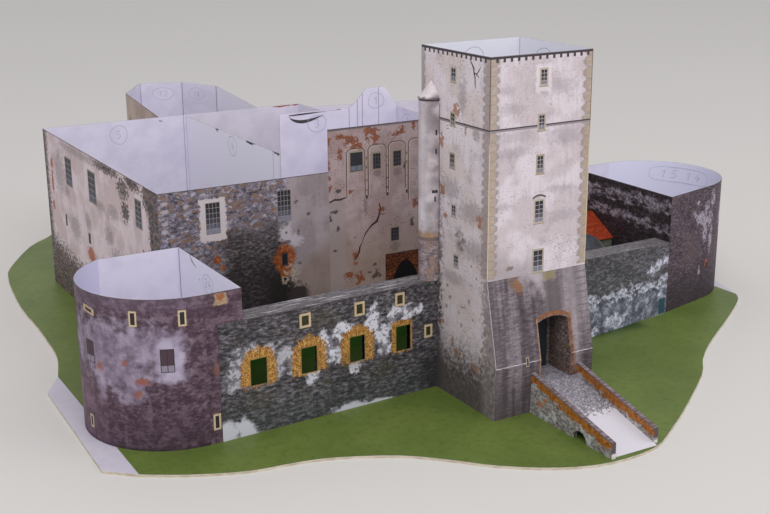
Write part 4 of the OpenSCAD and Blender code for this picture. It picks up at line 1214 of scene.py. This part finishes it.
class Collage:
    """Printed pieces of one building, thin closed slabs in one mesh. A slab is a grid of
    points [layer, side, column]: layer 0 lies on the face plane plus the piece's height,
    layer 1 is sunk into the card, sides 0 and 1 are its two long edges."""

    SINK = -0.03

    def __init__(self, name, slot):
        self.name = name
        self.slot = slot
        self.points, self.faces, self.tones, self.kinds, self.inks = [], [], [], [], []
        self.total = 0

    def add(self, face, u, v, colour, tone=0.5, out=0.04, ring=False):
        """A slab between two edges: u and v have the shape (2, columns). Columns are
        joined by four quads each; a ring joins its last column to its first one."""
        u, v = np.asarray(u, float), np.asarray(v, float)
        grid = np.stack([face.spot(u, v, out), face.spot(u, v, self.SINK)])
        count = u.shape[1]
        at = np.arange(4 * count).reshape(2, 2, count) + self.total
        around = np.stack([at[0, 0], at[0, 1], at[1, 1], at[1, 0]])
        after = np.roll(around, -1, axis=0)
        if ring:
            here, there = slice(None), np.roll(np.arange(count), -1)
        else:
            here, there = slice(0, count - 1), slice(1, count)
        quads = np.stack(
            [around[:, here], after[:, here], after[:, there], around[:, there]], axis=-1
        ).reshape(-1, 4)
        if not ring:
            quads = np.vstack([quads, around[::-1, 0], around[:, -1]])
        if colour not in self.inks:
            self.inks.append(colour)
        self.points.append(grid.reshape(-1, 3))
        self.faces.append(quads)
        self.tones.append(np.full(4 * count, tone))
        self.kinds.append(np.full(len(quads), self.inks.index(colour)))
        self.total += 4 * count

    def plate(self, face, u0, u1, v0, v1, colour, tone=0.5, out=0.04):
        """A rectangle of the wall; on a round wall in columns at most 1.5 mm apart so that it bends with it.
        """
        count = 2 + int(abs(u1 - u0) / 1.5) if isinstance(face, Round) else 2
        u = np.linspace(u0, u1, count)
        self.add(face, [u, u], [np.full(count, v0), np.full(count, v1)], colour, tone, out)

    def arch(self, face, u0, u1, v0, spring, rise, colour, tone=0.5, out=0.04, point=0):
        """A filled arch: its top is spring + rise * (1 - t**2) ** 0.5 for t from -1 to 1
        across the span, sharpened towards a point by the share point."""
        t = np.sin(np.linspace(-math.pi / 2, math.pi / 2, 15))
        u = (u0 + u1) / 2 + t * (u1 - u0) / 2
        bow = np.sqrt(np.maximum(1 - t ** 2, 0))
        top = spring + rise * ((1 - point) * bow + point * (1 - np.abs(t)))
        self.add(face, [u, u], [np.full(15, v0), np.maximum(top, v0 + 0.01)], colour, tone, out)

    def stroke(self, face, path, width, colour, tone=0.5, out=0.05, ring=False):
        """A pencil or brush line: each edge lies half the width off the path, along the
        normal of the path's mean direction at that point."""
        path = np.asarray(path, float)
        if ring:
            ahead = np.roll(path, -1, 0) - np.roll(path, 1, 0)
        else:
            ahead = np.gradient(path, axis=0)
        ahead /= np.linalg.norm(ahead, axis=1)[:, None]
        side = np.stack([-ahead[:, 1], ahead[:, 0]], 1) * np.reshape(width, (-1, 1)) / 2
        both = np.stack([path - side, path + side])
        self.add(face, both[..., 0], both[..., 1], colour, tone, out, ring)

    def stones(self, face, low, high, edges, colour, tones, out=0.05, rough=0.12):
        """Upright run of printed stones: stone k lies between the heights low[k] and
        high[k] and between the places edges[k]; its corners are cut a little unevenly."""
        for k, (bottom, top, (near, far)) in enumerate(zip(low, high, edges)):
            bend = rough * math.sin(7 * k + 1.3)
            t = np.array([0, 0.16, 0.84, 1])
            u = near + (far - near) * t
            inset = (top - bottom) * np.array([0.02, 0, 0.04 + rough, 0.3])
            edges_v = [bottom + inset + bend * 0.3, top - inset]
            self.add(face, [u, u], edges_v, colour, tones[k % len(tones)], out)

    def build(self):
        """Puts the slabs into one mesh, its faces turned outwards, riding on the model."""
        mesh = bpy.data.meshes.new(self.name)
        faces = np.vstack(self.faces)
        mesh.from_pydata(np.vstack(self.points).tolist(), [], faces.tolist())
        for colour in self.inks:
            mesh.materials.append(colour)
        mesh.polygons.foreach_set("material_index", np.concatenate(self.kinds).astype(np.int32))
        tones = mesh.attributes.new("tone", "FLOAT", "POINT")
        tones.data.foreach_set("value", np.concatenate(self.tones).astype(np.float32))
        sheet = bmesh.new()
        sheet.from_mesh(mesh)
        bmesh.ops.recalc_face_normals(sheet, faces=sheet.faces)
        sheet.to_mesh(mesh)
        sheet.free()
        piece = bpy.data.objects.new(self.name, mesh)
        bpy.context.scene.collection.objects.link(piece)
        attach(piece, "root")


def sash(art, face, u0, u1, v0, v1, columns=2, rows=4, frame=0.7, casing=0.55, top=0.12, foot=0.85,
         bars=0.75):
    """A printed window: tan casing, pale bars and panes that are dark above, pale below."""
    if frame:
        art.plate(face, u0, u1, v0, v1, CASING, casing, out=0.03)
    art.plate(face, u0 + frame, u1 - frame, v0 + frame, v1 - frame, BAR, bars, out=0.05)
    bar = min(0.3, (u1 - u0 - 2 * frame) / columns / 4)
    us = np.linspace(u0 + frame - bar / 2, u1 - frame + bar / 2, columns + 1)
    vs = np.linspace(v0 + frame - bar / 2, v1 - frame + bar / 2, rows + 1)
    for i in range(columns):
        for k in range(rows):
            share = (k + 0.5) / rows
            tone = foot + (top - foot) * min(1, share * 1.5)
            art.plate(face, us[i] + bar / 2, us[i + 1] - bar / 2, vs[k] + bar / 2,
                      vs[k + 1] - bar / 2, PANE, tone, out=0.07)


def dim_window(art, face, u0, u1, v0, v1, pane, foot=0.75):
    """A window with two dark panes, paler in their lowest third, between thin black bars."""
    art.plate(face, u0, u1, v0, v1, SLIT, 0.35, out=0.04)
    third = v0 + (v1 - v0) * 0.3
    for left, right in ((u0 + 0.4, (u0 + u1) / 2 - 0.2), ((u0 + u1) / 2 + 0.2, u1 - 0.4)):
        art.plate(face, left, right, third + 0.3, v1 - 0.5, pane, 0.35, out=0.06)
        art.plate(face, left, right, v0 + 0.4, third, pane, foot, out=0.06)


def loophole(art, face, u0, u1, v0, v1, frame=1, tone=0.7, slit=None):
    """A printed loophole: a cream frame inside a thin ochre line, and a dark slit."""
    art.plate(face, u0 - 0.2, u1 + 0.2, v0 + 0.2, v1 - 0.2, QUOIN, 0.2, out=0.03)
    art.plate(face, u0 + 0.2, u1 - 0.2, v0 - 0.2, v1 + 0.2, QUOIN, 0.2, out=0.03)
    art.plate(face, u0, u1, v0, v1, QUOIN, tone, out=0.05)
    art.plate(face, u0 + frame, u1 - frame, v0 + frame, v1 - frame, slit or SLIT, 0.25, out=0.07)


DIGITS = {
    1: [(0.1, 0.7), (0.35, 1), (0.35, 0)],
    2: [(0, 0.78), (0.15, 1), (0.45, 0.98), (0.55, 0.74), (0.35, 0.4), (0, 0), (0.6, 0.03)],
    3: [(0.05, 0.9), (0.35, 1), (0.55, 0.78), (0.25, 0.55), (0.58, 0.32), (0.35, 0), (0, 0.08)],
    4: [(0.35, 1), (0, 0.4), (0.6, 0.42), (0.42, 0.7), (0.4, 0)],
    5: [(0.55, 1), (0.1, 1), (0.05, 0.58), (0.42, 0.6), (0.55, 0.3), (0.35, 0), (0, 0.1)],
    6: [(0.5, 1), (0.1, 0.6), (0.05, 0.2), (0.3, 0), (0.55, 0.25), (0.35, 0.5), (0.08, 0.35)],
    7: [(0, 1), (0.58, 0.98), (0.2, 0)],
    8: [(0.3, 0.55), (0.05, 0.8), (0.3, 1), (0.55, 0.8), (0.05, 0.25), (0.3, 0), (0.55, 0.25),
        (0.3, 0.55)],
}


def note(art, face, u, v, digits, tall=6, wide=8, high=8, faint=0.2):
    """A pencilled plain number in a ring, as made to sort the pieces before gluing."""
    turn = np.linspace(0, 2 * math.pi, 33)[:-1]
    wobble = 1 + 0.04 * np.sin(3 * turn + u)
    ring = np.stack([u + wide * wobble * np.cos(turn), v + high * wobble * np.sin(turn)], 1)
    art.stroke(face, ring, 0.32, LEAD, 0.55 + faint, ring=True)
    start = -0.42 * tall * len(digits) + 0.1 * tall
    for place, digit in enumerate(digits):
        shape = np.asarray(DIGITS[digit]) * tall
        across = face.right * (shape[:, 0] + start + place * 0.85 * tall)
        art.stroke(face, np.stack([u + across, v - tall / 2 + shape[:, 1]], 1), 0.34, LEAD, 0.35 + faint)


def keep_pieces():
    """Windows, cornice, string course, cracks and the gate's surround."""
    art = Collage("keep_prints", "keep_print")
    front = [(33.4, 38.7, 190, 199.4), (32.9, 37.8, 164.9, 174), (32.4, 37.6, 140.2, 150.9),
             (31.7, 38.6, 111.4, 124.9), (31.5, 39.2, 81.9, 95.6)]
    side = [(33.6, 39.1, 190.3, 198.5), (34.2, 39.1, 165.3, 172.9), (34.3, 39.6, 140.6, 149.3),
            (32.4, 37.5, 112.2, 119.3), (29.4, 34.6, 82.3, 89.7)]
    for face, windows in ((front_face, front), (rear_face, front), (left_face, side), (right_face, side)):
        for k, (u0, u1, v0, v1) in enumerate(windows):
            plain = face in (front_face, rear_face)
            rows = (4, 4, 4, 5, 4)[k] if plain else 3
            u0, u1, v0, v1 = u0 - 0.3, u1 + 0.3, v0 - 0.3, v1 + 0.4
            sash(art, face, u0, u1, v0, v1, 2, rows, frame=1.05, casing=0.6 - 0.06 * (k % 3))
            if k == 3 and plain:
                lift = np.linspace(-1, 1, 11)
                across = (u0 + u1) / 2 + lift * (u1 - u0 + 1.6) / 2
                hood = np.stack([across, v1 + 1 + 1.5 * (1 - lift ** 2)], 1)
                art.stroke(face, hood, 0.7, SLIT, 0.8)
                art.stroke(face, hood - [0, 0.6], 0.5, SHADE, 0.6, out=0.04)
            art.plate(face, u0 - 0.3, u1 + 0.3, v0 - 0.4, v0, CASING, 0.2, out=0.04)

    for face, width in ((front_face, KEEP_W), (rear_face, KEEP_W), (left_face, KEEP_D), (right_face, KEEP_D)):
        art.plate(face, 0.05, width - 0.05, 206.6, 207.7, SLIT, 0.75, out=0.05)
        for place in np.arange(4.4, width - 2, 4.77):
            art.plate(face, place - 0.8, place + 0.9, 204.6, 206.6, SHADE, 0.05, out=0.03)
            art.plate(face, place - 0.4, place + 0.8, 205, 206.6, SLIT, 0.8, out=0.05)
        gap = (32.4, 38.3) if width == KEEP_W else (33.8, 39.5)
        for left, right in ((0.05, gap[0]), (gap[1], width - 0.05)):
            art.plate(face, left, right, 167.6, 168.3, SLIT, 0.85, out=0.06)
            art.plate(face, left, right, 166.6, 167.6, SHADE, 0.75, out=0.03)

    crack = [(19.9, 205.1), (18, 202.6), (16, 200.3), (15.6, 197.6), (14.7, 195.6), (14.5, 192),
             (13.9, 189.4)]
    for face in (left_face, right_face):
        art.stroke(face, crack, (0.4, 0.9, 1.2, 1, 1, 0.8, 0.3), SLIT, 0.6)
        art.stroke(face, [(16, 198), (13, 197.3), (10.6, 195.5)], (0.4, 0.8, 0.3), SLIT, 0.7)
        art.stroke(face, [(13.4, 197.2), (11.2, 199.2), (9.4, 201.6)], (0.5, 0.7, 0.3), SLIT, 0.7)

    for name, toward, u, digit in (("keep_rear_wall", FRONT, 36, 6), ("keep_right_wall", LEFT, 44.5, 7)):
        note(art, Flat(name, toward), u, 197, (digit,), wide=8, high=7, faint=0.3)

    for left, right, count in ((0.2, 31.8, 60), (54.4, 69.8, 30)):
        along = np.linspace(left, right, count)
        torn = np.stack([along, 31.95 + 0.1 * np.sin(1.5 * along)], 1)
        art.stroke(batter_top, torn, 0.3 + 0.12 * np.sin(along), WHITE, 0.45)
    art.plate(batter_top, 0.02, 0.3, 31.8, 81, WHITE, 0.3, out=0.05)
    art.plate(batter_top, 21.1, 23.5, 31.9, 35.2, CASING, 0.3, out=0.07)
    art.plate(batter_foot, 21.1, 23.5, 29.3, 31.7, CASING, 0.3, out=0.07)
    art.plate(batter_top, 21.9, 22.8, 31.9, 34.4, SLIT, 0.2, out=0.09)
    art.plate(batter_foot, 21.9, 22.8, 30.2, 31.7, SLIT, 0.2, out=0.09)

    sweep = np.linspace(math.pi, 0, 25)
    across = [42.9 + reach * np.cos(sweep) for reach in (12.6, 11.15)]
    upright = [spring + rise * np.sin(sweep) for spring, rise in ((53.2, 5.2), (53, 2.7))]
    art.add(batter_top, across, upright, WARM_BRICK, 0.5)
    for left, right, tone in ((31.1, 31.9, 0.85), (54.1, 56, 0.45)):
        low = np.arange(32, 53, 2.6)
        tones = (tone, tone - 0.15, tone + 0.1)
        art.stones(batter_top, low, low + 2.6, [(left, right)] * len(low), WARM_BRICK, tones, rough=0)
        low = np.arange(18.6, 31.4, 2.6)
        art.stones(batter_foot, low, low + 2.6, [(left, right)] * len(low), WARM_BRICK, tones, rough=0)
    art.build()


def turret_bits():
    """The stair turret's slits, its sill and the dark ring under its cap."""
    art = Collage("turret_prints", "keep_print")
    face = turret_face
    span = face.radius * math.pi
    for u, v in ((-1, 159.2), (-1, 148.1), (-1.6, 119.6)):
        art.plate(face, u - 0.5, u + 0.5, v - 1.6, v + 1.6, SLIT, 0.4, out=0.06)
    art.plate(face, -3.6, 0.2, 123.2, 125, SLIT, 0.8, out=0.06)
    art.plate(face, -span, span * 0.5, 177.4, 178.3, SLIT, 0.95, out=0.05)
    art.build()


def curtain_pieces():
    """Loopholes of the left curtain wall."""
    art = Collage("curtain_prints", "curtain_print")
    face = left_curtain_face
    for u0, u1, v0, v1 in ((-94.8, -87.6, 56.8, 65.2), (-58.4, -51.6, 56.8, 65.2),
                           (-30.1, -23.6, 57.4, 65.5), (-9.2, -3.4, 33.5, 41.7)):
        loophole(art, face, u0, u1, v0, v1, frame=1.35, slit=OLIVE_SLIT)
    art.build()


def bastion_pieces():
    """The bastion's loopholes, patches and windows."""
    art = Collage("bastion_prints", "bastion_print")
    face = bastion_round
    for place in ((-38.7, -34.4, 72.3, 80.8), (-12.1, -7.8, 71.8, 80.6), (-74.6, -70.8, 6.6, 14),
                  (-100, -96, 72, 80), (-130, -126, 72, 80)):
        loophole(art, face, *place, frame=0.9)
    loophole(art, bastion_flank_face, -150.2, -145.8, 8, 17.4, frame=1.1)
    for left, right, half, colour, out in ((-72.4, -62.4, 1.9, QUOIN, 0.05), (-70.6, -64.4, 0.9, SLIT, 0.07)):
        along = np.linspace(left, right, 9)
        middle = 77.2 - 0.16 * (along + 67.4)
        art.add(face, [along, along], [middle - half, middle + half], colour, 0.6, out)
    for place in ((-22.8, -15.2, 46, 59.4), (-72.4, -64.8, 46.8, 59.6), (-120, -112, 46, 59)):
        dim_window(art, face, *place, DIM_PANE)

    inner = Flat("bastion_flat_wall", LEFT)
    note(art, inner, 94.2, 76.4, (2, 4), tall=5.4, wide=7.4, high=5.6)
    art.stroke(inner, [(139.3, 1), (139.3, 87)], 0.5, LEAD, 0.1)
    tear = [(121.4, 87.4), (118.6, 84.9), (115.2, 83.3), (111, 82)]
    art.stroke(inner, tear, (0.3, 0.8, 0.7, 0.2), SLIT, 0.9)
    art.stroke(inner, [(107, 76.4), (106.8, 75.2)], 0.6, LEAD, 0.1)
    inner_round = Round(bastion_centre, BASTION_R - 0.5, side=-1)
    bowl = np.linspace(0, math.pi, 13)
    bleed = np.stack([149.6 + 4.6 * np.cos(bowl), 87.3 - 3.2 * np.sin(bowl)], 1)
    art.stroke(inner_round, bleed, 0.45 + 0.3 * np.sin(bowl), SLIT, 0.85)
    art.build()


def tower_pieces():
    """The rear tower's loopholes, bricks and sashes."""
    art = Collage("rear_tower_prints", "rear_tower_print")
    face = tower_round
    for u, v in ((58, 42), (96, 42)):
        loophole(art, face, u - 1.6, u + 1.6, v - 3.6, v + 3.6, frame=0.9, tone=0.6)
    art.plate(face, 10.4, 13.6, 24.2, 29, RED_BRICK, 0.4, out=0.03)
    art.plate(face, 11.8, 14.4, 22.6, 27.4, SLIT, 0.3, out=0.06)
    for u in (48, 80):
        sash(art, face, u, u + 6.4, 44, 56, 2, 4, frame=0.5, casing=0.1)
    inner_round = Round(tower_centre, TOWER_R - 0.5, side=-1)
    turn = np.linspace(0, 2 * math.pi, 49)[:-1]
    across, upright = np.cos(turn), np.sin(turn)
    oblong = [98 + 26 * np.sign(across) * abs(across) ** 0.4,
              76 + 5.8 * np.sign(upright) * abs(upright) ** 0.6]
    art.stroke(inner_round, np.stack(oblong, 1), 0.3, LEAD, 1, ring=True)
    for place, digit in enumerate((1, 5, 1, 4)):
        shape = np.asarray(DIGITS[digit]) * (8.4, 6.2)
        u = 116 - shape[:, 0] - 0.3 * shape[:, 1] - place * 8.4 - 4 * (place > 1)
        art.stroke(inner_round, np.stack([u, 73 + shape[:, 1]], 1), 0.4, LEAD, 0.85)
    art.build()


def palace_pieces():
    """Sashes, slits and marks on the palace's walls."""
    art = Collage("palace_prints", "palace_print")
    face = palace_left_face
    for place in ((319.6, 335.7, 89.1, 110.7), (263.4, 280.4, 88.1, 111.2), (170, 182.4, 92.2, 111.2)):
        sash(art, face, *place, 2, 5, frame=1, casing=0.15, top=0.3, foot=0.6)
    for u0, u1, v0, v1 in ((341.5, 345, 56, 65), (284, 288.7, 55.8, 63.6)):
        art.plate(face, u0, u1, v0, v1, SLIT, 0.4, out=0.05)
        art.plate(face, u0 - 0.6, u1 + 0.6, v0 - 1.2, v0, WHITE, 0.6, out=0.04)
    for place in ((-111.8, -102.3, 92.3, 112.2), (-63.5, -54.1, 93.8, 113.9)):
        sash(art, palace_front_face, *place, 4, 6, frame=0.3, casing=0, top=0.1, foot=0.85, bars=0.5)
    art.plate(palace_front_face, -61.7, -57.3, 64.6, 73.2, SLIT, 0.6, out=0.05)
    art.plate(palace_front_face, -60.9, -58.1, 65.6, 72.2, SLIT, 0.1, out=0.07)
    for face, places in ((palace_rear_face, (-120, -88, -50, 45)), (range_end_face, (236, 280, 330))):
        for u in places:
            sash(art, face, u, u + 10, 88, 106, 2, 5, frame=0.9, casing=0.3)
            sash(art, face, u + 2, u + 8, 50, 62, 2, 3, frame=0.7, casing=0.3)
    for u in (236, 270, 310, 350):
        sash(art, palace_court_face, u, u + 9, 84, 102, 2, 5, frame=0.9, casing=0.4)

    rear_inside = Flat("palace_rear_wall", FRONT)
    court_inside = Flat("palace_court_wall", LEFT)
    note(art, rear_inside, -82.8, 111, (5,), tall=6, wide=7, high=7.4)
    note(art, court_inside, 294.6, 112.4, (4,), tall=7, wide=7.8, high=7.4)
    art.stroke(rear_inside, [(-49.2, 119), (-46.4, 118.4)], 0.8, LEAD, 0)
    for u, reach in ((60, 9), (72, 3)):
        path = [(u - reach, 121.3), (u - reach / 3, 120.8), (u + reach / 3, 121.1), (u + reach, 121.2)]
        art.stroke(rear_inside, path, (0.4, 1.2, 0.9, 0.3), RED_BRICK, 0.35)
    art.build()


def hall_pieces():
    """Windows and blind arches of the hall, marks on its pilasters, its ledge and cracks."""
    art = Collage("hall_prints", "hall_print")
    face = hall_face
    art.plate(face, -11.8, -1.4, 119.2, 133.4, CASING, 0.35, out=0.03)
    dim_window(art, face, -11, -2, 120, 132.4, DARK_PANE, 0.85)
    for u0, u1, v0, v1 in ((5.6, 11.6, 119.8, 130.4), (20.9, 27.1, 120, 130.4), (18.9, 25.2, 69.2, 78.6)):
        art.plate(face, u0 - 0.8, u1 + 0.8, v0 - 0.6, v1 + 0.9, CASING, 0.3, out=0.02)
        sash(art, face, u0, u1, v0, v1, 3, 4, frame=0.3, casing=0, top=0.05, foot=0.15, bars=0.1)
    for left, right, foot, top in ((-13.8, -0.2, 103, 135), (2.2, 15.7, 102.8, 136),
                                   (17.4, 30.2, 104.3, 136.6), (32.6, 45, 96.1, 137.2)):
        reach = (right - left) / 2
        lift = np.linspace(-1, 1, 13)
        bow = np.stack([(left + right) / 2 + lift * reach, top - 2.4 * np.abs(lift) ** 5], 1)
        half_way = (foot + top) / 2
        line = np.vstack([(left, foot), (left, half_way), *bow, (right, half_way), (right, foot)])
        art.stroke(face, line, 0.6, BROWN_LINE, 0.6, out=0.05)
        art.stroke(face, line + [0.6, -0.5], 0.4, CASING, 0.75, out=0.045)
    for u in (0.9, 16.5, 31.3):
        art.plate(face, u - 0.7, u + 0.7, 101, 103.2, BROWN_LINE, 0.3, out=0.06)
        for v in (106, 112.5, 121, 127):
            art.plate(face, u - 0.4, u + 0.4, v, v + 1.2 + 0.8 * math.sin(u + v), BROWN_LINE, 0.9, out=0.07)
    ledge = [(-26.8, 101.6), (-23, 103), (-19, 102.6), (-14.6, 103.6)]
    art.stroke(face, ledge, (1, 1.2, 1.2, 0.8), BROWN_LINE, 0.1, out=0.05)
    crack = [(10.1, 96.5), (10.9, 93.2), (10.2, 89.2), (8.2, 84.5), (4.6, 82.6), (1.8, 80), (-0.2, 77.9),
             (-1.8, 74.9), (-3.2, 71.6), (-4.9, 68.5), (-5.4, 65), (-7.4, 62.6), (-9.5, 60.5)]
    width = (0.9, 0.8, 1, 1.7, 1.3, 0.8, 1, 0.5, 0.4, 1.1, 1.2, 0.9, 0.5)
    art.stroke(face, crack, width, BROWN_LINE, 0.15)
    art.stroke(face, [(9.8, 90), (12.6, 88.6), (15.4, 89.4)], (0.6, 0.7, 0.3), BROWN_LINE, 0.9)
    for u in (-18, 6, 34):
        sash(art, hall_rear_face, u, u + 9, 112, 128, 2, 4, frame=0.9, casing=0.4)
    for u in (150, 174):
        sash(art, hall_side_face, u, u + 8, 112, 127, 2, 4, frame=0.9, casing=0.4)

    inner = Flat("hall_rear_wall", FRONT)
    note(art, inner, -0.6, 140.4, (3,), tall=5.6, wide=7.2, high=5.8)
    note(art, inner, 46.2, 152.2, (1,), tall=5.4, wide=6.4, high=5.4)
    side_inside = Flat("hall_side_wall", LEFT)
    note(art, side_inside, 190.6, 138.6, (2,), tall=4.4, wide=7.4, high=4.8)
    rim = np.linspace(0, 1, 17)
    u, top = -22 + 27 * rim, 147.2 - rim
    bow = 5 * np.sin(math.pi * rim ** 0.7)
    art.add(inner, [u, u], [top - bow * 0.55 - 0.2, top - bow - 0.3], SLIT, 1, 0.04)
    smear = np.stack([-22 + 40 * rim, 147.6 + 0.9 * rim], 1)
    art.stroke(inner, smear, 0.6 + 0.5 * np.sin(6 * rim), SLIT, 0.8)
    art.build()


def chapel_pieces():
    """Pointed windows on the chapel's sides and pencil notes inside the apse."""
    art = Collage("chapel_prints", "chapel_print")
    for u in (420, 466, 510):
        for face in (chapel_left_face, chapel_right_face):
            art.arch(face, u - 4.4, u + 4.4, 74, 96, 10, CASING, 0.35, 0.03, point=0.5)
            art.arch(face, u - 2.9, u + 2.9, 76, 95, 8.6, SLIT, 0.9, 0.05, point=0.5)
    apse = [Flat("chapel_apse", (-x, -y, 0)) for x, y in ((0.33, 0.94), (-0.85, 0.52), (0.9, 0.43))]
    note(art, apse[0], 19.1, 111.6, (1, 2), tall=5, wide=9.4, high=5.8, faint=0.4)
    note(art, apse[2], 543.3, 112.4, (1, 8), tall=4.6, wide=8.6, high=5.4, faint=0.4)
    art.build()


keep_pieces()
turret_bits()
curtain_pieces()
bastion_pieces()
tower_pieces()
palace_pieces()
hall_pieces()
chapel_pieces()


# Floor, light and camera


def lay_floor():
    """A plain pale floor under the board."""
    paint = Paint("floor_pale", 0.7)
    paint.shader.inputs["Base Color"].default_value = ink("#dcd9d6")
    mesh = bpy.data.meshes.new("floor")
    reach = 9.0
    corners = [(-reach, -reach, 0), (reach, -reach, 0), (reach, reach, 0), (-reach, reach, 0)]
    mesh.from_pydata(corners, [], [(0, 1, 2, 3)])
    mesh.materials.append(paint.material)
    floor = bpy.data.objects.new("floor", mesh)
    bpy.context.scene.collection.objects.link(floor)


ROOM_LIGHT = 0.62
LAMP_TINT = (1.0, 0.985, 0.96)
LAMPS = (("key_lamp", (-0.75, -1.5, 1.7), 24.0, 1.6), ("fill_lamp", (1.5, -1.2, 1.5), 7.0, 1.8))


def light_room():
    """An even pale room, a large soft lamp from the front left and a weak one from the
    right. The camera and mirrored rays see a plain pale backdrop instead of the room."""
    world = bpy.data.worlds.new("studio")
    world.use_nodes = True
    tree = world.node_tree
    tree.nodes.clear()
    room, seen = (tree.nodes.new("ShaderNodeBackground") for _ in range(2))
    room.inputs["Color"].default_value = (0.97, 0.97, 1.0, 1.0)
    room.inputs["Strength"].default_value = ROOM_LIGHT
    seen.inputs["Color"].default_value = ink("#e4e2e0")
    ray = tree.nodes.new("ShaderNodeLightPath")
    choice = tree.nodes.new("ShaderNodeMixShader")
    output = tree.nodes.new("ShaderNodeOutputWorld")
    seen_by = ray.outputs["Is Camera Ray"]
    for kind in ("Is Glossy Ray", "Is Transmission Ray"):
        either = tree.nodes.new("ShaderNodeMath")
        either.operation = "MAXIMUM"
        tree.links.new(seen_by, either.inputs[0])
        tree.links.new(ray.outputs[kind], either.inputs[1])
        seen_by = either.outputs[0]
    tree.links.new(seen_by, choice.inputs[0])
    tree.links.new(room.outputs[0], choice.inputs[1])
    tree.links.new(seen.outputs[0], choice.inputs[2])
    tree.links.new(choice.outputs[0], output.inputs[0])
    bpy.context.scene.world = world
    for name, place, power, size in LAMPS:
        lamp = bpy.data.lights.new(name, "AREA")
        lamp.energy = power
        lamp.size = size
        lamp.color = LAMP_TINT
        stand = bpy.data.objects.new(name, lamp)
        stand.location = place
        aim = Matrix.Translation((0.0, 0.15, 0.05)).translation - stand.location
        stand.rotation_euler = aim.to_track_quat("-Z", "Y").to_euler()
        bpy.context.scene.collection.objects.link(stand)


CAMERA_PLACE = (-383.1, -551.0, 294.5)
CAMERA_TURN = (29.8999, 16.4626, 0.42868)
FOCUS_PIXELS, PICTURE_PIXELS, SENSOR = 1242.6, 770, 36.0


def place_camera():
    """The camera's axes from its yaw, pitch and roll. It looks along
    (sin yaw cos pitch, cos yaw cos pitch, -sin pitch)."""
    yaw, pitch, roll = np.radians(CAMERA_TURN)
    look = np.array([math.sin(yaw) * math.cos(pitch), math.cos(yaw) * math.cos(pitch), -math.sin(pitch)])
    right = np.array([math.cos(yaw), -math.sin(yaw), 0.0])
    down = np.cross(look, right)
    right, down = (
        math.cos(roll) * right + math.sin(roll) * down, -math.sin(roll) * right + math.cos(roll) * down
    )
    eye = np.array(CAMERA_PLACE) * MM + corner
    turn = np.eye(4)
    turn[:3, 0], turn[:3, 1], turn[:3, 2], turn[:3, 3] = right, -down, -look, eye
    lens = bpy.data.cameras.new("camera")
    lens.sensor_fit = "HORIZONTAL"
    lens.sensor_width = SENSOR
    lens.lens = FOCUS_PIXELS / PICTURE_PIXELS * SENSOR
    lens.clip_start = 0.02
    view = bpy.data.objects.new("camera", lens)
    view.matrix_world = Matrix(turn.tolist())
    bpy.context.scene.collection.objects.link(view)
    bpy.context.scene.camera = view
    bpy.context.scene.view_settings.view_transform = "Standard"


lay_floor()
light_room()
place_camera()
